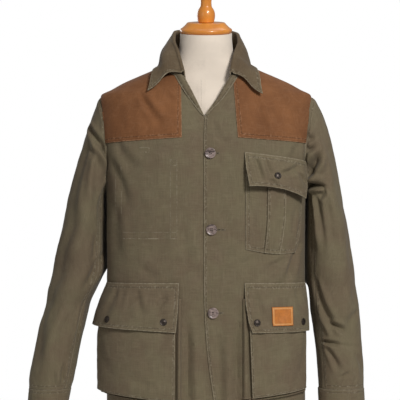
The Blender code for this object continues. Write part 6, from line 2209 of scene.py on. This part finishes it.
class JACKET_OT_buttons(bpy.types.Operator):
    """Makes the three front buttons and their buttonholes."""

    bl_idname = "jacket.buttons"
    bl_label = "Buttons"
    bl_options = {"REGISTER", "UNDO"}

    def execute(self, context):
        body = button_body()
        thread = button_thread("button thread")
        holes, slits = [], []
        for index, (x, z, hole_end, turned) in enumerate(BUTTONS):
            points, normals = on_front("left", [(x - 0.001, z), (x + 0.001, z)], 0.0, 3)
            point, normal = points[1] + normals[1] * 0.0004, normals[1]
            button = set_down(copied(body, f"horn_button_{index + 1}"), point, normal, turned)
            belongs(button, "horn", f"button_{index + 1}")
            bar = set_down(copied(thread, f"button_thread_{index + 1}"), point, normal, turned)
            belongs(bar, "olive_canvas")
            hole_start = x + BUTTONHOLE_START
            holes += buttonhole_rows(hole_start, hole_end, z)
            slits.append(on_front("left", [(hole_start, z), (hole_end, z)], 0.0004, 40))
        bpy.data.objects.remove(body)
        bpy.data.objects.remove(thread)
        # Each slit is a row of long near-black beads, a painted shadow in the buttonhole's opening.
        sewn("stitching_slits", slits, "dark slit", length=0.0060, proud=0.0, width=0.0011)
        sewn("stitching_buttonholes", holes, length=0.0017, proud=0.0, width=0.00062)
        return {"FINISHED"}


class JACKET_OT_form(bpy.types.Operator):
    """Makes the dress form's jersey torso, base, neck cap and finial."""

    bl_idname = "jacket.form"
    bl_label = "Dress form"
    bl_options = {"REGISTER", "UNDO"}

    def execute(self, context):
        torso = grid_piece("jersey_torso", form_surface())
        bpy.ops.object.mode_set(mode="EDIT")
        bpy.ops.mesh.select_all(action="SELECT")
        bpy.ops.mesh.remove_doubles(threshold=1e-6)
        bpy.ops.mesh.fill_holes(sides=0)
        bpy.ops.mesh.normals_make_consistent(inside=False)
        bpy.ops.object.mode_set(mode="OBJECT")
        give_finish(torso, finish("cream jersey"))
        shade(torso, 45)
        belongs(torso, "cream_jersey", "form_body")
        belongs(turned_piece("beech_base", BASE_RINGS, finish("beech"), 128), "beech", "form_base")
        neck_top = np.array([0, 0, NECK_TOP_Z])
        cap = turned_piece("beech_neck_cap", CAP_RINGS, finish("beech"), 96)
        belongs(set_down(cap, neck_top + NECK_UP * SETTLED, NECK_UP), "beech", "neck_cap")
        finial = turned_piece("beech_finial", rounded(FINIAL_RINGS), finish("beech"), 80)
        belongs(set_down(finial, neck_top + NECK_UP * (CAP_HEIGHT + 2 * SETTLED), NECK_UP), "beech", "finial")
        return {"FINISHED"}


# Each light's setting, place, what it shines at, and width.
LIGHTS = [
    ("front_light", (1.25, -2.6, 2.1), (0, 0, 0.55), 0.8),
    ("fill_light", (-2.0, -2.0, 1.1), (0, 0, 0.5), 1.8),
    ("top_light", (0.2, 0.6, 2.6), (0, 0, 0.6), 1.5),
    ("back_light", (-1.6, 2.6, 1.5), (0, 0, 0.55), 1.6),
]
CAMERA_PLACE = (-0.0135, -3.0, 0.543)
CAMERA_TILT = math.radians(90.64)  # 90 degrees looks level
CAMERA_LENS = 120


def soft_light(name, place, target, width, power):
    light = bpy.data.lights.new(name, "AREA")
    light.shape = "DISK"
    light.size = width
    light.energy = power
    made = bpy.data.objects.new(name, light)
    bpy.context.scene.collection.objects.link(made)
    made.location = Vector(place)
    made.rotation_mode = "QUATERNION"
    made.rotation_quaternion = (Vector(target) - Vector(place)).to_track_quat("-Z", "Y")


class JACKET_OT_stage(bpy.types.Operator):
    """Makes the floor, the soft lights, the white surround and the camera."""

    bl_idname = "jacket.stage"
    bl_label = "Stage"
    bl_options = {"REGISTER", "UNDO"}

    def execute(self, context):
        scene = context.scene
        settings = scene.jacket_stage
        reach = settings.floor_radius
        floor = turned_piece("floor", [(reach, -0.020), (reach, -0.0005)], finish("pale floor"), 128)
        for setting, place, target, width in LIGHTS:
            soft_light(setting.replace("_", " "), place, target, width, getattr(settings, setting))
        world = bpy.data.worlds.new("white surround")
        world.use_nodes = True
        scene.world = world
        tree = world.node_tree
        tree.nodes.clear()
        white = (1, 1, 1, 1)
        seen = put(tree, "ShaderNodeBackground", None, {"Color": white, "Strength": 1.0})
        lighting = put(tree, "ShaderNodeBackground", None, {"Color": white, "Strength": settings.surround})
        path = put(tree, "ShaderNodeLightPath")
        mixed = put(tree, "ShaderNodeMixShader", None, {0: path.outputs["Is Camera Ray"]})
        tree.links.new(lighting.outputs[0], mixed.inputs[1])
        tree.links.new(seen.outputs[0], mixed.inputs[2])
        tree.links.new(mixed.outputs[0], put(tree, "ShaderNodeOutputWorld").inputs[0])
        scene.view_settings.view_transform = "Standard"
        scene.view_settings.look = "None"
        camera = bpy.data.objects.new("camera", bpy.data.cameras.new("camera"))
        scene.collection.objects.link(camera)
        camera.location = CAMERA_PLACE
        camera.rotation_euler = (CAMERA_TILT, 0, 0)
        camera.data.lens = CAMERA_LENS
        camera.data.sensor_width = 36
        scene.camera = camera
        return {"FINISHED"}


PIECES = (
    JACKET_OT_finishes, JACKET_OT_stage, JACKET_OT_fronts, JACKET_OT_back, JACKET_OT_patches,
    JACKET_OT_sleeves, JACKET_OT_collar, JACKET_OT_pockets, JACKET_OT_flaps, JACKET_OT_buttons,
    JACKET_OT_form,
)


class JACKET_PT_panel(bpy.types.Panel):
    """The jacket's pieces and settings."""

    bl_label = "Canvas field jacket"
    bl_idname = "JACKET_PT_panel"
    bl_space_type = "VIEW_3D"
    bl_region_type = "UI"
    bl_category = "Jacket"

    def draw(self, context):
        for piece in PIECES:
            self.layout.operator(piece.bl_idname)
        scene = context.scene
        for settings in (scene.jacket_sizes, scene.jacket_colours, scene.jacket_stage):
            box = self.layout.box()
            for name in settings.__annotations__:
                box.prop(settings, name)


CLASSES = (JacketSizes, JacketColours, StageSettings, *PIECES, JACKET_PT_panel)


def register():
    for kind in CLASSES:
        bpy.utils.register_class(kind)
    bpy.types.Scene.jacket_sizes = PointerProperty(type=JacketSizes)
    bpy.types.Scene.jacket_colours = PointerProperty(type=JacketColours)
    bpy.types.Scene.jacket_stage = PointerProperty(type=StageSettings)


def unregister():
    del bpy.types.Scene.jacket_stage
    del bpy.types.Scene.jacket_colours
    del bpy.types.Scene.jacket_sizes
    for kind in reversed(CLASSES):
        bpy.utils.unregister_class(kind)


def main():
    register()
    for piece in PIECES:
        getattr(bpy.ops.jacket, piece.bl_idname.split(".")[1])()


if __name__ == "__main__":
    main()
